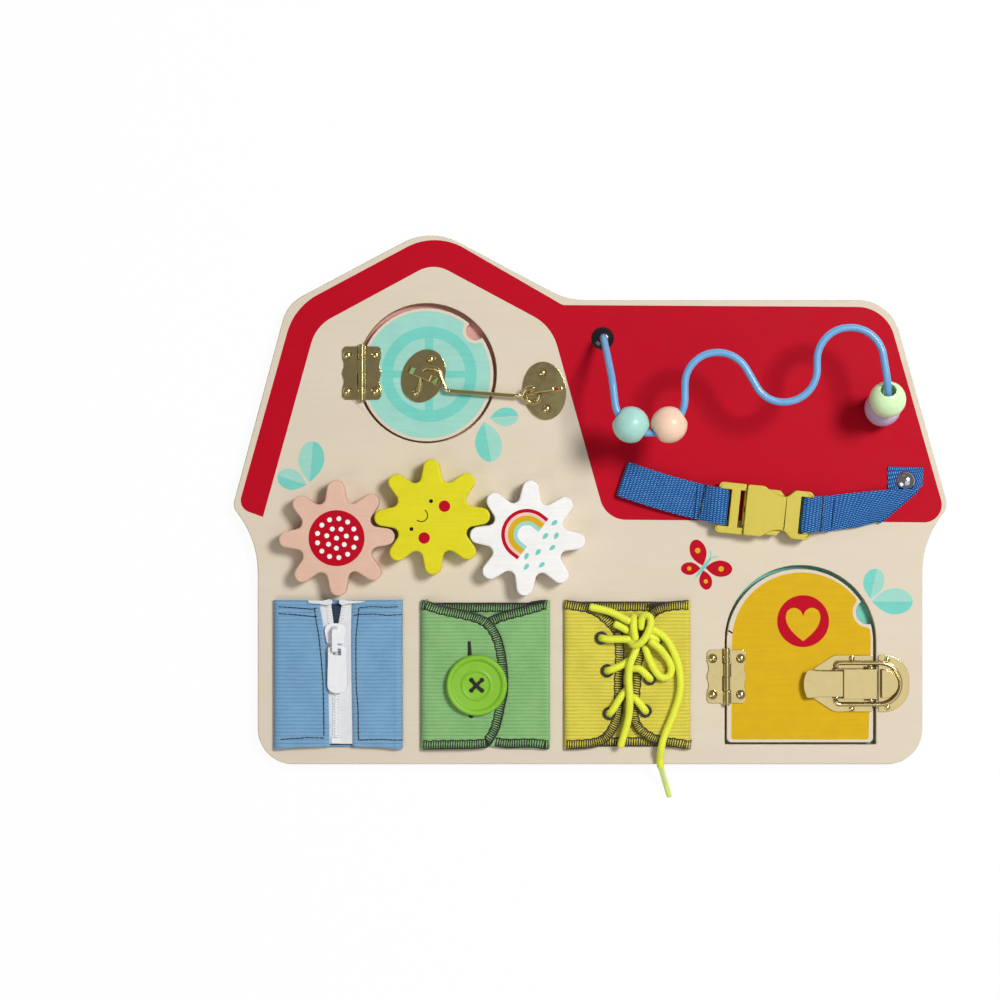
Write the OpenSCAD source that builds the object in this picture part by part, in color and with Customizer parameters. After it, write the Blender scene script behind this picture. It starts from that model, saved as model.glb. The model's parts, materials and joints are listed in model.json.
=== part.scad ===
// Wooden busy board in the outline of a barn, with two doors, three gears, a bead track,
// a buckle strap and three cloth panels. It lies on its back: +X right, +Y to the roof, +Z out
// of the face. Millimetres.

/* [Board] */
// Overall width across the eaves
board_w = 401; // [398:1:410]
// Overall height from the bottom edge to the ridge
board_h = 297.5; // [294:0.5:306]
// Width between the barn walls
body_w = 374; // [368:1:378]
// Thickness of the plain back panel
back_t = 4; // [3:0.5:6]
// Thickness of the cut-out front panel
front_t = 6; // [5:0.5:9]
// Distance of the ridge from the centre line
ridge_x = -89.6; // [-92:0.2:-86]
// Slope of the gable roof
gable_pitch = 28; // [26:0.5:30]
// Height of the long roof above the centre
roof_y = 112.4; // [110:0.2:114]
// Right end of the long roof
roof_end_x = 168.9; // [164:0.1:172]
// Left shoulder of the gable roof
shoulder_x = -170.5; // [-173:0.1:-166]
// Radius of the two bottom corners
corner_r = 20; // [10:1:30]

/* [Doors] */
// Centre of the round window
window_pos = [-91.9, 71.3];
// Radius of the round cut-out
window_r = 39.3; // [38.6:0.1:40]
// Gap between the round door and its cut-out
window_gap = 1.7; // [1.4:0.1:2]
// Distance that the round door sits below the middle of its cut-out
window_drop = 0.9; // [0.5:0.1:1.2]
// Distance of the arched cut-out's middle from the centre line
arch_x = 118.3; // [117:0.1:120]
// Distance of the arched cut-out above the bottom edge
arch_rise = 11.25; // [9:0.25:14]
// Width of the arched cut-out
arch_w = 85; // [84:0.5:86]
// Top of the arched cut-out
arch_top = -36.8; // [-38:0.1:-34]
// Side and bottom gap of the arched door
arch_gap = 1; // [0.8:0.1:1.2]
// Gap above the arched door
arch_top_gap = 2; // [1.5:0.1:3]
// Gap between a door and the back panel
door_lift = 0.5; // [0.4:0.05:0.8]
// Radius of the finger notch in the round door
window_notch_r = 5; // [4:0.5:6]
// Radius of the finger notch in the arched door
arch_notch_r = 6.8; // [5.5:0.1:7.5]

/* [Hinges] */
// Width of one hinge leaf from the pin
leaf_w = 11; // [10.5:0.1:12]
// Height of a hinge leaf
leaf_h = 30; // [28:0.5:31]
// Thickness of sheet brass
sheet_t = 0.9; // [0.6:0.1:1]
// Radius of the hinge knuckles
knuckle_r = 1.95; // [1.8:0.05:2.1]
// Radius of the hinge pins
pin_r = 1; // [0.8:0.05:1.1]
// Radial running clearance of a pin in its bore
pin_gap = 0.05; // [0.02:0.01:0.09]
// Distance of the window hinge pin from the middle of the window
window_hinge_dx = -36.5; // [-36.8:0.1:-36.2]
// Distance of the rivets from the hinge pin
rivet_dx = 7.95; // [7.5:0.05:8.2]
// Distance of the rivets from the middle of the hinge
rivet_dy = 10.2; // [9.5:0.1:11]
// Height of the door hinge above the bottom of the door
arch_hinge_y = 38.2; // [30:0.2:44]
// Radius of a rivet head
rivet_head_r = 2.7; // [2.2:0.1:3]
// Height of a rivet head
rivet_head_h = 1.6; // [1.2:0.1:1.8]
// Radius of a rivet shank
rivet_r = 1.4; // [1:0.1:1.5]

/* [Hook latch] */
// Centre of the eye plate on the round door
eye_pos = [-93.7, 69.7];
// Turn of the eye plate
eye_turn = -23; // [-25:1:-21]
// Centre of the staple plate on the frame
staple_pos = [-25.7, 61.3];
// Turn of the staple plate
staple_turn = 7; // [5:0.5:9]
// Clear height under the eye strap
eye_rise = 6.2; // [6:0.1:7]
// Clear height under the staple strap
staple_rise = 7.8; // [7.6:0.1:9]
// Radius of the hook wire
hook_r = 1.1; // [0.9:0.05:1.15]
// Radius of the hook ring to the middle of its wire
ring_r = 4.55; // [4.4:0.05:4.7]
// Height of the hook ring above the face
ring_z = 5; // [4.9:0.05:5.3]
// Lean of the hook ring on the staple
ring_lean = 28; // [26:1:30]

/* [Toggle latch] */
// Height of the toggle latch above the bottom of the arched cut-out
latch_rise = 34.3; // [30:0.1:39]
// Lever hinge axis
lever_x = 157.2; // [156.8:0.1:157.4]
// Height of the lever axis above the face
lever_z = 4.4; // [4.3:0.05:4.8]
// Distance from the lever axis to the loop axis
loop_arm = 19.2; // [18:0.2:20]
// Radius of the loop wire
loop_r = 1; // [0.8:0.05:1.1]
// Half width of the loop to the middle of its wire
loop_half = 11.65; // [11.4:0.05:12]
// Half width of the lever
lever_half = 8.4; // [8:0.1:8.4]
// Half width of the base and catch plates
plate_half = 16; // [15.5:0.1:17]
// Height of the catch boss above its plate
catch_h = 4.2; // [3:0.1:4.6]

/* [Gears] */
// Centre of the middle gear
gear_pos = [-88.5, -9.5];
// Distance between neighbouring gears
gear_pitch = 54.5; // [54.2:0.1:56]
// Fall of the outer gears below the middle one
gear_fall = 12.5; // [11:0.5:14]
// Outer radius of a gear
gear_r = 32.3; // [31.8:0.1:32.6]
// Radius at the bottom of the teeth
root_r = 20.9; // [20:0.1:21]
// Radius of a tooth tip
tip_r = 4.7; // [4.4:0.1:4.9]
// Radius of the valley between teeth
valley_r = 3.7; // [3.5:0.1:4]
// Number of teeth
teeth = 8; // [8:1:8]
// Thickness of a gear
gear_t = 12; // [8:0.5:15]
// Gap between a gear and the face
gear_gap = 0.5; // [0.3:0.1:1]
// Radius of a gear axle
axle_r = 4; // [3:0.5:5]

/* [Bead track] */
// Radius of the track wire
wire_r = 2; // [1.5:0.1:2.1]
// Height of the track above the face
track_z = 40; // [40:0.5:44]
// Radius of the valley that holds two beads
bead_valley_r = 19; // [18.8:0.1:19.4]
// Radius of the bend above the right leg
leg_r = 19; // [18.8:0.1:19.2]
// Radius of a bead
bead_r = 10; // [9.4:0.1:10]
// Radius of the hole in a bead
bead_hole_r = 4.3; // [4.2:0.05:4.5]
// Radius of the grommet domes
grommet_r = 6.5; // [5.5:0.1:7.5]
// Height of the grommet domes
grommet_h = 2.9; // [2.5:0.1:2.9]

/* [Strap and buckle] */
// Middle of the buckle
buckle_pos = [95.8, -6.4];
// Turn of the buckle
buckle_turn = -6; // [-7:0.5:-5]
// Width of the webbing
strap_w = 20; // [18:0.5:20]
// Thickness of the webbing
strap_t = 1.3; // [1:0.1:1.3]
// Width of the buckle
buckle_w = 28.4; // [28:0.2:31]
// Thickness of the buckle
buckle_t = 9; // [8.6:0.1:9.2]
// Travel of the plug when it is pulled out
plug_travel = 22; // [15:1:24]

/* [Cloth panels] */
// Top edge of the cloth panels
cloth_top = -57; // [-58:0.5:-56]
// Distance of the cloth panels above the bottom edge
cloth_rise = 9.35; // [8:0.05:14]
// Thickness of the cloth
cloth_t = 1.4; // [1:0.1:1.6]
// Width of the slots that the cloth goes into
slot_w = 2.6; // [2.4:0.1:3.4]
// Left edge of the zip panel
zip_x = -177.4; // [-179:0.2:-176]
// Width of the zip panel
zip_w = 71.7; // [70:0.1:74]
// Middle of the zip
zip_mid = -143; // [-145:0.2:-141]
// Width of the zip tapes that shows
tape_w = 18.3; // [16:0.1:20]
// Travel of the zip slider
zip_travel = 46; // [30:1:48]
// Left edge of the button panel
button_x = -94.8; // [-96:0.2:-93]
// Width of the button panel
button_w = 71.8; // [70:0.1:74]
// Centre of the button
button_pos = [-63.8, -103.7];
// Radius of the button
button_r = 17.2; // [14:0.1:18]
// Left edge of the lace panel
lace_x = -14.4; // [-16:0.2:-13]
// Width of the lace panel
lace_w = 70.4; // [70:0.1:73]
// Outer radius of the eyelets
eyelet_r = 3.65; // [3.4:0.05:4]
// Radius of the shoelace
lace_r = 2.1; // [1.8:0.05:2.15]

/* [Hidden] */

round_fn = 64;
arc_step = 6;
eps = 0.01;
bend_lap = 0.2;
rod_inset = 0.02;
fit = 0.1;
soft_gap = 0.3;

wood = "BurlyWood";
gold = "Gold";
steel = "Silver";
webbing = "RoyalBlue";
plastic = "Khaki";
denim = "SteelBlue";
green_cloth = "MediumSeaGreen";
yellow_cloth = "Yellow";
neon = "GreenYellow";
white = "White";

face_z = back_t + front_t;
foot_y = -board_h / 2;
apex_r = 33.6;
apex_y = board_h / 2 + apex_r * (1 / cos(gable_pitch) - 1);
shoulder_y = apex_y - (ridge_x - shoulder_x) * tan(gable_pitch);
junction_x = ridge_x + (apex_y - roof_y) / tan(gable_pitch);
eave_y = -4;
eave_flare = 38;
eave_left_r = 7;
eave_right_r = 10;
eave_left_x = -board_w / 2 - 0.683;
eave_right_x = board_w / 2 + 1.033;
sweep_left_y = eave_y - (-eave_left_x - body_w / 2) / tan(eave_flare);
sweep_right_y = eave_y - (eave_right_x - body_w / 2) / tan(eave_flare);
sweep_left_r = ((-eave_left_x - body_w / 2) / sin(eave_flare) - 4.2) / tan(eave_flare / 2);
sweep_right_r = ((eave_right_x - body_w / 2) / sin(eave_flare) - 5.7) / tan(eave_flare / 2);
outline = [
    [-body_w / 2, foot_y, corner_r],
    [body_w / 2, foot_y, corner_r],
    [body_w / 2, sweep_right_y, sweep_right_r],
    [eave_right_x, eave_y, eave_right_r],
    [roof_end_x, roof_y, 24],
    [junction_x, roof_y, 40],
    [ridge_x, apex_y, apex_r],
    [shoulder_x, shoulder_y, 22],
    [eave_left_x, eave_y, eave_left_r],
    [-body_w / 2, sweep_left_y, sweep_left_r]
];

door_z = back_t + door_lift;
door_t = face_z - door_z;
window_door_pos = [window_pos.x, window_pos.y - window_drop];
window_notch = window_pos + 36.2 * [cos(41), sin(41)];
arch_pos = [arch_x, foot_y + arch_rise];
arch_h = arch_top - arch_pos.y;
arch_door_w = arch_w - arch_gap * 2.5;
arch_door_x = arch_pos.x - arch_w / 2 + arch_gap + arch_door_w / 2;
arch_door_y = arch_pos.y + arch_gap;
arch_door_h = arch_h - arch_gap - arch_top_gap;
arch_notch = [arch_door_x + arch_door_w / 2 - 2.8, arch_door_y + arch_door_h - arch_door_w / 2 + 17];

barrel_z = face_z + fit + knuckle_r;
barrel_h = 31;
window_hinge = [window_pos.x + window_hinge_dx, window_pos.y];
arch_hinge = [arch_pos.x - arch_w / 2 + 0.9, arch_pos.y + arch_hinge_y];
knuckles = 4;
knuckle_gap = 0.25;
leaf_clear = knuckle_r + 0.45;
leaf_chamfer = 1.6;
leaf_scallop = 1;
leaf_lobe = 9.6;
rivet_grip = 4.4;
eye_rivet = 10.2;
plate_rivet_r = 1.3;

eye_half = 9.3;
staple_half = 9.8;
ring_gap = [6, 78];
hook_pivot = [-94.8, 69.9];
ring_pos = staple_pos + turned([-7.3, -1.6], staple_turn);
hook_z = face_z + 4;
eye_plate_size = [24, 31];
staple_plate_size = [24.5, 33];
// Bends of the hook from its ring to its tip
hook_line = [[-42, 58.3, 4], [-80.6, 61.2, 2.4], [-85.6, 73.6, 3.1], [-94, 74.2, 3.1]];
hook_tip = [-96.2, 60.6];

latch_y = arch_pos.y + latch_rise;
catch_x = 162.0;
boss_flat_x = 163.3;
boss_half = 7.9;
boss_x = boss_flat_x + 1.4;
loop_end_x = boss_x + boss_half - loop_half + loop_r + 0.45;
loop_z = lever_z - 1.4;
loop_x = lever_x - loop_arm;
base_end = [124.8, arch_door_x + arch_door_w / 2 - 0.6];
latch_rivets = [[147, plate_half - 1.8], [147, 1.8 - plate_half], [129.5, 0]];
catch_rivets = [[167, plate_half - 2.6], [167, 2.6 - plate_half]];

gear_phase = [1.6, 0.9, -3.4];
gear_z = face_z + gear_gap;
gear_centres = [
    gear_pos - gear_pitch * [cos(gear_fall), sin(gear_fall)],
    gear_pos,
    gear_pos + gear_pitch * [cos(gear_fall), -sin(gear_fall)]
];
axle_depth = gear_t - 3;
pocket_r = 8;
screw_head_r = 6;

wire_z = face_z + track_z;
track_foot = [7, 90.8];
leg_foot = [162.6, 51];
// Corners of the bead track with the radius of each bend
track = [
    [track_foot.x, track_foot.y, 0.8, 0],
    [track_foot.x, track_foot.y, face_z + 11, 9],
    [10.4, 66, wire_z, 14],
    [30.4 - bead_valley_r * tan(41), 55.5 - bead_valley_r, wire_z, bead_valley_r],
    [31 + bead_valley_r, 55.5 - bead_valley_r, wire_z, bead_valley_r],
    [31 + bead_valley_r, 80.2, wire_z, 17.4],
    [78.4, 80.2, wire_z, 18],
    [93.9, 53.3, wire_z, 16.5],
    [122, 53.3, wire_z, 18],
    [122, 93.8, wire_z, 17.8],
    [155.6, 93.8, wire_z, 18],
    [leg_foot.x, leg_foot.y, wire_z, leg_r],
    [leg_foot.x, leg_foot.y, 0.8, 0]
];
valley_mid = [31, 55.5];
valley_bead_r = bead_valley_r - 1.1;
valley_angle = 35.5;
leg_dir = unit([leg_foot.x - 155.6, leg_foot.y - 93.8]);
leg_mid = leg_foot - leg_dir * leg_r;
lilac_z = face_z + grommet_h + bead_r - 1.7;
green_lean = 34;

buckle_z = face_z + 5.85;
bar_plug = -22.4;
bar_socket = 25.2;
bar_w = 3;
bar_h = 2.8;
loop_bend = 2.85;
strap_z = buckle_z - loop_bend;
stitch_run = 13;
socket_wall = 1.6;
plug_half_t = 2.6;
arm_out = 12.7;
rail_in = strap_w / 2 + 0.4;
strap_fold = [[164.3, -10.3], [183.2, 5.1]];
strap_tail = [[167.6, 18.7], [187.3, 18.9], [187.3, 8.6]];
strap_tuck = [[164.6, -9.6], [167.6, -5]];
strap_top_low = [[130.2, -18.5], [153.6, -14.4]];
strap_top_high = [[167.8, 3.6], [132.5, 0.9]];
right_rivet = [177.3, 10.6];
right_rivet_r = 5.8;
left_end = [17.7, 12];
left_stitch = buckle_pos + turned([bar_plug - stitch_run, 0], buckle_turn);
left_dir = unit(left_stitch - left_end);
left_run = norm(left_stitch - left_end);
left_turn = atan2(left_dir.y, left_dir.x);
left_rivet = left_end + left_dir * 7;

cloth_bottom = foot_y + cloth_rise;
cloth_h = cloth_top - cloth_bottom;
denim_z = face_z + 3;
tape_t = 0.8;
tooth_pitch = 1.6;
tooth_t = 2;
tape_z = denim_z - tape_t;
chain_z = tape_z + tape_t / 2 - tooth_t / 2;
chain_split = cloth_top - 21;
chain_gap = 0.6;
chain_half = 3.4;
chain_end = cloth_bottom + 4;
slider_y = -74.9;
slider_w = 13.5;
slider_l = 11.5;
pull_y = slider_y - 7.5;
pull_l = 26;
pull_w = 10;
pull_drop = 3.2;
pull_z = chain_z + tooth_t + 3.3;
under_z = face_z + 1.6;
flap_z = under_z + cloth_t + soft_gap;
flap_edge = [-58, -60];
flap_point = [-40, -98.5, 62];
button_t = 4;
button_z = flap_z + cloth_t + soft_gap;
tongue_t = 1.2;
lace_flap_z = face_z + tongue_t + 1.1;
eyelet_h = 0.7;
eyelet_hole_r = 2.45;
eyelets_left = [[6.2, -77.4], [9.5, -95.8], [10.6, -119.7]];
eyelets_right = [[37.1, -78.5], [33.4, -100.2], [30.8, -118.3]];

// Routes of the shoelace
long_route = [
    [32.5, -71.3, 16.6], [40.5, -76, 16.6], [46.5, -85, 16.4], [50, -97, 16.3], [49.8, -108.5, 16.3],
    [46, -120.5, 16.3], [41, -133, 16.2], [39.4, -140, 16], [39.1, -145, 13.2], [39.5, -149.6, 12.5],
    [40.6, -153, 10], [41.6, -156.3, 6.6]
];
tip_route = [[41.6, -156.3, 6.6], [43, -160.5, 3.2], [45, -167, 2.4]];
short_route = [
    [26, -79.5, 16.6], [25.2, -84, 17.6], [22, -91.5, 19.4], [21.2, -99, 19], [21.8, -111, 19.2],
    [21, -122.5, 17], [16.9, -137.5, 16.2]
];
bow_route = [
    [30.6, -82.5, 16.5], [32.8, -89, 16.6], [36.2, -95.7, 17], [39.8, -99.3, 16.8], [43.4, -99, 16.4],
    [45.2, -95.2, 16.4], [44, -90.5, 16.6], [41.5, -86.7, 17.6], [37.6, -82.2, 20.4], [33.6, -79, 21]
];
tail_routes = [
    [[21.3, -67.8, 17.6], [11.8, -63, 16.4], [0.4, -60, 16.2]],
    [[20.6, -73, 16.3], [14, -69.6, 16.2]]
];
knot_routes = [
    [
        [22.6, -79.6, 17.6], [24.5, -81.2, 19.8], [28.3, -79.3, 21.2], [31.3, -75, 21.4], [33.1, -70.5, 21.2],
        [33.4, -66.9, 20.6], [32.7, -65.2, 20], [31, -64.5, 19.3], [29.3, -65.2, 18.6], [28.6, -67, 18],
        [28.4, -71.5, 16.8]
    ],
    [[24.1, -65.5, 16], [23.9, -68.5, 18.6], [24, -73, 19.4], [25, -77.5, 18.4]]
];

function eyelet_top() = lace_flap_z + cloth_t + eyelet_h;

// Lace that comes up out of the eyelet at p and turns to lie along direction a
function emerge(p, a) =
    [
        for (s = [[0, -1.2], [0.2, 0.9], [1.3, 2.1], [3.1, 2.5]])
            [p.x + s[0] * cos(a), p.y + s[0] * sin(a), eyelet_top() + s[1]]
    ];

strand_routes = [
    concat(emerge(eyelets_left[0], -9), [[21.5, -78, 17.4]]),
    concat(emerge(eyelets_left[1], 22), [[18, -92.2, 16.4], [22.6, -89.2, 15.4]]),
    concat(emerge(eyelets_left[2], 52), [[17.8, -109, 16.4], [22, -104.7, 15.4]]),
    concat(emerge(eyelets_right[0], 152), [[31, -75.3, 17]]),
    concat(emerge(eyelets_right[1], 134), [[27, -94.4, 16.4], [23.6, -94.6, 15.4]]),
    concat(emerge(eyelets_right[2], 127), [[25.2, -111.4, 16.4], [22.2, -109.8, 15.4]])
];

function unit(v) = v / norm(v);

function turned(v, a) = [v.x * cos(a) - v.y * sin(a), v.x * sin(a) + v.y * cos(a)];

function shortest(a) = a - 360 * round(a / 360);

// Points on the arc of radius r that rounds corner q between p and s
function corner(p, q, s, r) =
    let (
        a = unit(p - q),
        b = unit(s - q),
        half = acos(a * b) / 2,
        mid = q + unit(a + b) * r / sin(half),
        from = q + a * r / tan(half) - mid,
        to = q + b * r / tan(half) - mid,
        start = atan2(from.y, from.x),
        turn = shortest(atan2(to.y, to.x) - start),
        steps = max(2, ceil(abs(turn) / arc_step))
    )
    [for (i = [0 : steps]) mid + r * [cos(start + turn * i / steps), sin(start + turn * i / steps)]];

// Closed outline through corners given as [x, y, radius]
function rounded(c) =
    let (n = len(c))
    [
        for (i = [0 : n - 1])
            let (p = c[(i + n - 1) % n], q = c[i], s = c[(i + 1) % n])
            each (q[2] > 0 ? corner([p[0], p[1]], [q[0], q[1]], [s[0], s[1]], q[2]) : [[q[0], q[1]]])
    ];

// Points of an arc about mid, for ribbons and outlines
function arc(mid, r, a0, a1, steps = 8) =
    [for (i = [0 : steps]) mid + r * [cos(a0 + (a1 - a0) * i / steps), sin(a0 + (a1 - a0) * i / steps)]];

function tangent(p, i) = unit(p[min(i + 1, len(p) - 1)] - p[max(i - 1, 0)]);

// Outline of a strip of thickness t along the points p
function ribbon(p, t) =
    let (side = [for (i = [0 : len(p) - 1]) let (d = tangent(p, i)) [-d.y, d.x] * t / 2])
    concat(
        [for (i = [0 : len(p) - 1]) p[i] + side[i]],
        [for (i = [len(p) - 1 : -1 : 0]) p[i] - side[i]]
    );

// Outline of a gear with round tips and round valleys joined by straight flanks
function gear_outline() =
    let (
        tip_d = gear_r - tip_r,
        valley_d = root_r + valley_r,
        step = 360 / teeth,
        v = valley_d * [cos(step / 2), sin(step / 2)] - [tip_d, 0],
        lean = atan2(v.y, v.x),
        flank = lean - acos((tip_r + valley_r) / norm(v))
    )
    [
        for (k = [0 : teeth - 1])
            each concat(
                [for (p = arc([tip_d, 0], tip_r, -flank, flank, 12)) turned(p, k * step)],
                [for (p = arc([valley_d, 0], valley_r, 180 + step / 2 + (flank - step),
                    180 - step / 2 - (flank - step), 8)) turned(p, (k + 0.5) * step)]
            )
    ];

// Ring of points about p for a swept tube, square to direction d
function tube_ring(p, d, r, sides) =
    let (
        side = abs(d.z) > 0.9 ? unit(cross(d, [0, 1, 0])) : unit(cross(d, [0, 0, 1])),
        up = cross(side, d)
    )
    [for (k = [0 : sides - 1]) p + r * (side * cos(360 * k / sides) + up * sin(360 * k / sides))];

// Round tube along the points of a route
module tube(route, r, sides = 10) {
    n = len(route);
    rings = [for (i = [0 : n - 1]) each tube_ring(route[i], tangent(route, i), r, sides)];
    walls = [
        for (i = [0 : n - 2], k = [0 : sides - 1])
            let (a = i * sides + k, b = i * sides + (k + 1) % sides)
            each [[a, a + sides, b], [b, a + sides, b + sides]]
    ];
    near = [for (k = [0 : sides - 1]) k];
    far = [for (k = [sides - 1 : -1 : 0]) (n - 1) * sides + k];
    polyhedron(rings, concat([near], walls, [far]), convexity = 6);
}

// Round rod along corners given as [x, y, z, bend radius]; each straight runs on into its bends
module bent_rod(corners, r) {
    n = len(corners);
    pts = [for (c = corners) [c[0], c[1], c[2]]];
    for (i = [1 : n - 2])
        rod_bend(pts[i - 1], pts[i], pts[i + 1], corners[i][3], r);
    for (i = [0 : n - 2]) {
        lap = bend_lap * unit(pts[i + 1] - pts[i]);
        a = i == 0 ? pts[0] : bend_end(pts[i - 1], pts[i], pts[i + 1], corners[i][3]) - lap;
        b = i == n - 2 ? pts[n - 1] : bend_end(pts[i + 2], pts[i + 1], pts[i], corners[i + 1][3]) + lap;
        rod(a, b, r - rod_inset);
    }
}

// Where the bend at q ends on its way to s
function bend_end(p, q, s, bend) =
    let (half = acos(unit(p - q) * unit(s - q)) / 2)
    q + unit(s - q) * bend / tan(half);

// Straight rod from a to b
module rod(a, b, r) {
    d = unit(b - a);
    translate(a)
        rotate([0, acos(d.z), atan2(d.y, d.x)])
            cylinder(r = r, h = norm(b - a), $fn = round_fn);
}

// Part of a torus that joins two straight rods at the corner q
module rod_bend(p, q, s, bend, r) {
    half = acos(unit(p - q) * unit(s - q)) / 2;
    mid = q + unit(unit(p - q) + unit(s - q)) * bend / sin(half);
    from = unit(bend_end(s, q, p, bend) - mid);
    to = unit(bend_end(p, q, s, bend) - mid);
    up = unit(cross(from, to));
    side = cross(up, from);
    multmatrix([
        [from.x, side.x, up.x, mid.x],
        [from.y, side.y, up.y, mid.y],
        [from.z, side.z, up.z, mid.z],
        [0, 0, 0, 1]
    ])
        rotate_extrude(angle = acos(from * to), $fn = round_fn)
            translate([bend, 0])
                circle(r = r, $fn = round_fn);
}

module drill(pos, r, low, high) {
    translate([pos.x, pos.y, low])
        cylinder(r = r, h = high - low, $fn = round_fn);
}

// Rivet or tack with a domed head; its shank points down
module rivet(head_r, head_h, shank_r, shank_l) {
    dome_r = (head_r * head_r + head_h * head_h) / (2 * head_h);
    intersection() {
        translate([0, 0, head_h - dome_r])
            sphere(r = dome_r, $fn = round_fn);
        cylinder(r = head_r, h = head_h, $fn = round_fn);
    }
    translate([0, 0, -shank_l])
        cylinder(r = shank_r, h = shank_l + head_h / 2, $fn = round_fn);
}

module at(points, z) {
    for (p = points)
        translate([p.x, p.y, z])
            children();
}

function hinge_rivets(hinge, side) =
    [for (dy = [-rivet_dy, rivet_dy]) hinge + [side * rivet_dx, dy]];

function plate_rivets(pos, turn) =
    [for (dy = [-eye_rivet, eye_rivet]) pos + turned([0, dy], turn)];

function latch_points(list) = [for (p = list) [p.x, p.y + latch_y]];

frame_rivet_points = concat(
    hinge_rivets(window_hinge, -1),
    hinge_rivets(arch_hinge, -1),
    plate_rivets(staple_pos, staple_turn)
);
slots = [
    for (e = [[zip_x, zip_w], [button_x, button_w], [lace_x, lace_w]])
        each [e[0] + slot_w / 2, e[0] + e[1] - slot_w / 2]
];
screw_in = 15;
screw_points = [
    [zip_x + slot_w + 2.8, foot_y + screw_in], [(arch_x + arch_w / 2 + body_w / 2) / 2, foot_y + screw_in],
    [-176, -8], [180, -12], [-155, 96], [-20, 92], [152, 96], [64, -60]
];

// ---------- board ----------

module board_outline() {
    polygon(rounded(outline));
}

module arch_shape(w, h) {
    translate([-w / 2, 0])
        square([w, h - w / 2]);
    translate([0, h - w / 2])
        circle(r = w / 2, $fn = round_fn * 2);
}

module back_board() {
    color(wood)
        difference() {
            linear_extrude(back_t)
                board_outline();
            for (p = concat(gear_centres, [track_foot, leg_foot]))
                drill(p, pocket_r, -1, back_t + 1);
            for (p = screw_points) {
                drill(p, 1.6, -1, back_t + 1);
                drill(p, 3.1, -1, 1.6);
            }
        }
}

module front_board() {
    color(wood)
        difference() {
            translate([0, 0, back_t])
                linear_extrude(front_t)
                    board_outline();
            drill(window_pos, window_r, back_t - 1, face_z + 1);
            translate([arch_pos.x, arch_pos.y, back_t - 1])
                linear_extrude(front_t + 2)
                    arch_shape(arch_w, arch_h);
            for (x = slots)
                translate([x - slot_w / 2, cloth_bottom - soft_gap, back_t - 1])
                    cube([slot_w, cloth_h + 2 * soft_gap, front_t + 2]);
            for (p = gear_centres)
                drill(p, axle_r + pin_gap, back_t - 1, face_z + 1);
            for (p = [track_foot, leg_foot])
                drill(p, wire_r + fit, back_t - 1, face_z + 1);
            for (p = concat(frame_rivet_points, latch_points(catch_rivets)))
                drill(p, rivet_r + fit / 2, face_z - rivet_grip - fit, face_z + 1);
            for (p = [left_rivet, right_rivet])
                drill(p, 2 + fit / 2, back_t + 1, face_z + 1);
            for (p = screw_points)
                drill(p, 1.5, back_t - 1, back_t + 4.2);
        }
}

module board_screws() {
    color(steel)
        for (p = screw_points) {
            drill(p, 3, 0.2, 1.5);
            drill(p, 1.45, 1.4, back_t + 4);
        }
}

// ---------- doors ----------

module window_door() {
    color(wood)
        difference() {
            drill(window_door_pos, window_r - window_gap, door_z, face_z);
            drill(window_notch, window_notch_r, door_z - 1, face_z + 1);
            for (p = concat(hinge_rivets(window_hinge, 1), plate_rivets(eye_pos, eye_turn)))
                drill(p, rivet_r + fit / 2, face_z - rivet_grip - fit, face_z + 1);
        }
}

module arch_door() {
    color("Goldenrod")
        difference() {
            translate([arch_door_x, arch_door_y, door_z])
                linear_extrude(door_t)
                    arch_shape(arch_door_w, arch_door_h);
            drill(arch_notch, arch_notch_r, door_z - 1, face_z + 1);
            for (p = concat(hinge_rivets(arch_hinge, 1), latch_points(latch_rivets)))
                drill(p, rivet_r + fit / 2, face_z - rivet_grip - fit, face_z + 1);
        }
}

// ---------- hinges ----------

function leaf_edge(v) =
    leaf_w - (abs(v) < leaf_lobe ? leaf_scallop * (1 - cos(360 * v / leaf_lobe)) / 2 : 0);

module leaf_outline() {
    reach = leaf_h / 2 - leaf_chamfer;
    polygon(concat(
        [[leaf_clear, -leaf_h / 2], [leaf_w - leaf_chamfer, -leaf_h / 2]],
        [for (i = [0 : 26]) let (v = -reach + 2 * reach * i / 26) [leaf_edge(v), v]],
        [[leaf_w - leaf_chamfer, leaf_h / 2], [leaf_clear, leaf_h / 2]]
    ));
}

// Leaf on the right of the pin; it carries every second knuckle from first
module hinge_leaf(first) {
    pitch = barrel_h / knuckles;
    difference() {
        union() {
            linear_extrude(sheet_t)
                leaf_outline();
            for (i = [first : 2 : knuckles - 1])
                translate([0, -barrel_h / 2 + i * pitch + knuckle_gap / 2, 0]) {
                    translate([0, 0, fit])
                        cube([leaf_clear + 1, pitch - knuckle_gap, sheet_t - fit]);
                    translate([0, 0, fit + knuckle_r])
                        rotate([-90, 0, 0])
                            cylinder(r = knuckle_r, h = pitch - knuckle_gap, $fn = round_fn);
                }
        }
        translate([0, -barrel_h, fit + knuckle_r])
            rotate([-90, 0, 0])
                cylinder(r = pin_r + pin_gap, h = 2 * barrel_h, $fn = round_fn);
        for (dy = [-rivet_dy, rivet_dy])
            drill([rivet_dx, dy], rivet_r + fit / 2, -1, sheet_t + 1);
    }
}

module frame_leaf(hinge) {
    color(gold)
        translate([hinge.x, hinge.y, face_z])
            mirror([1, 0, 0])
                hinge_leaf(0);
}

module door_leaf(hinge) {
    color(gold)
        translate([hinge.x, hinge.y, face_z])
            hinge_leaf(1);
}

module window_hinge_frame_leaf() {
    frame_leaf(window_hinge);
}

module window_hinge_door_leaf() {
    door_leaf(window_hinge);
}

module arch_hinge_frame_leaf() {
    frame_leaf(arch_hinge);
}

module arch_hinge_door_leaf() {
    door_leaf(arch_hinge);
}

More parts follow.
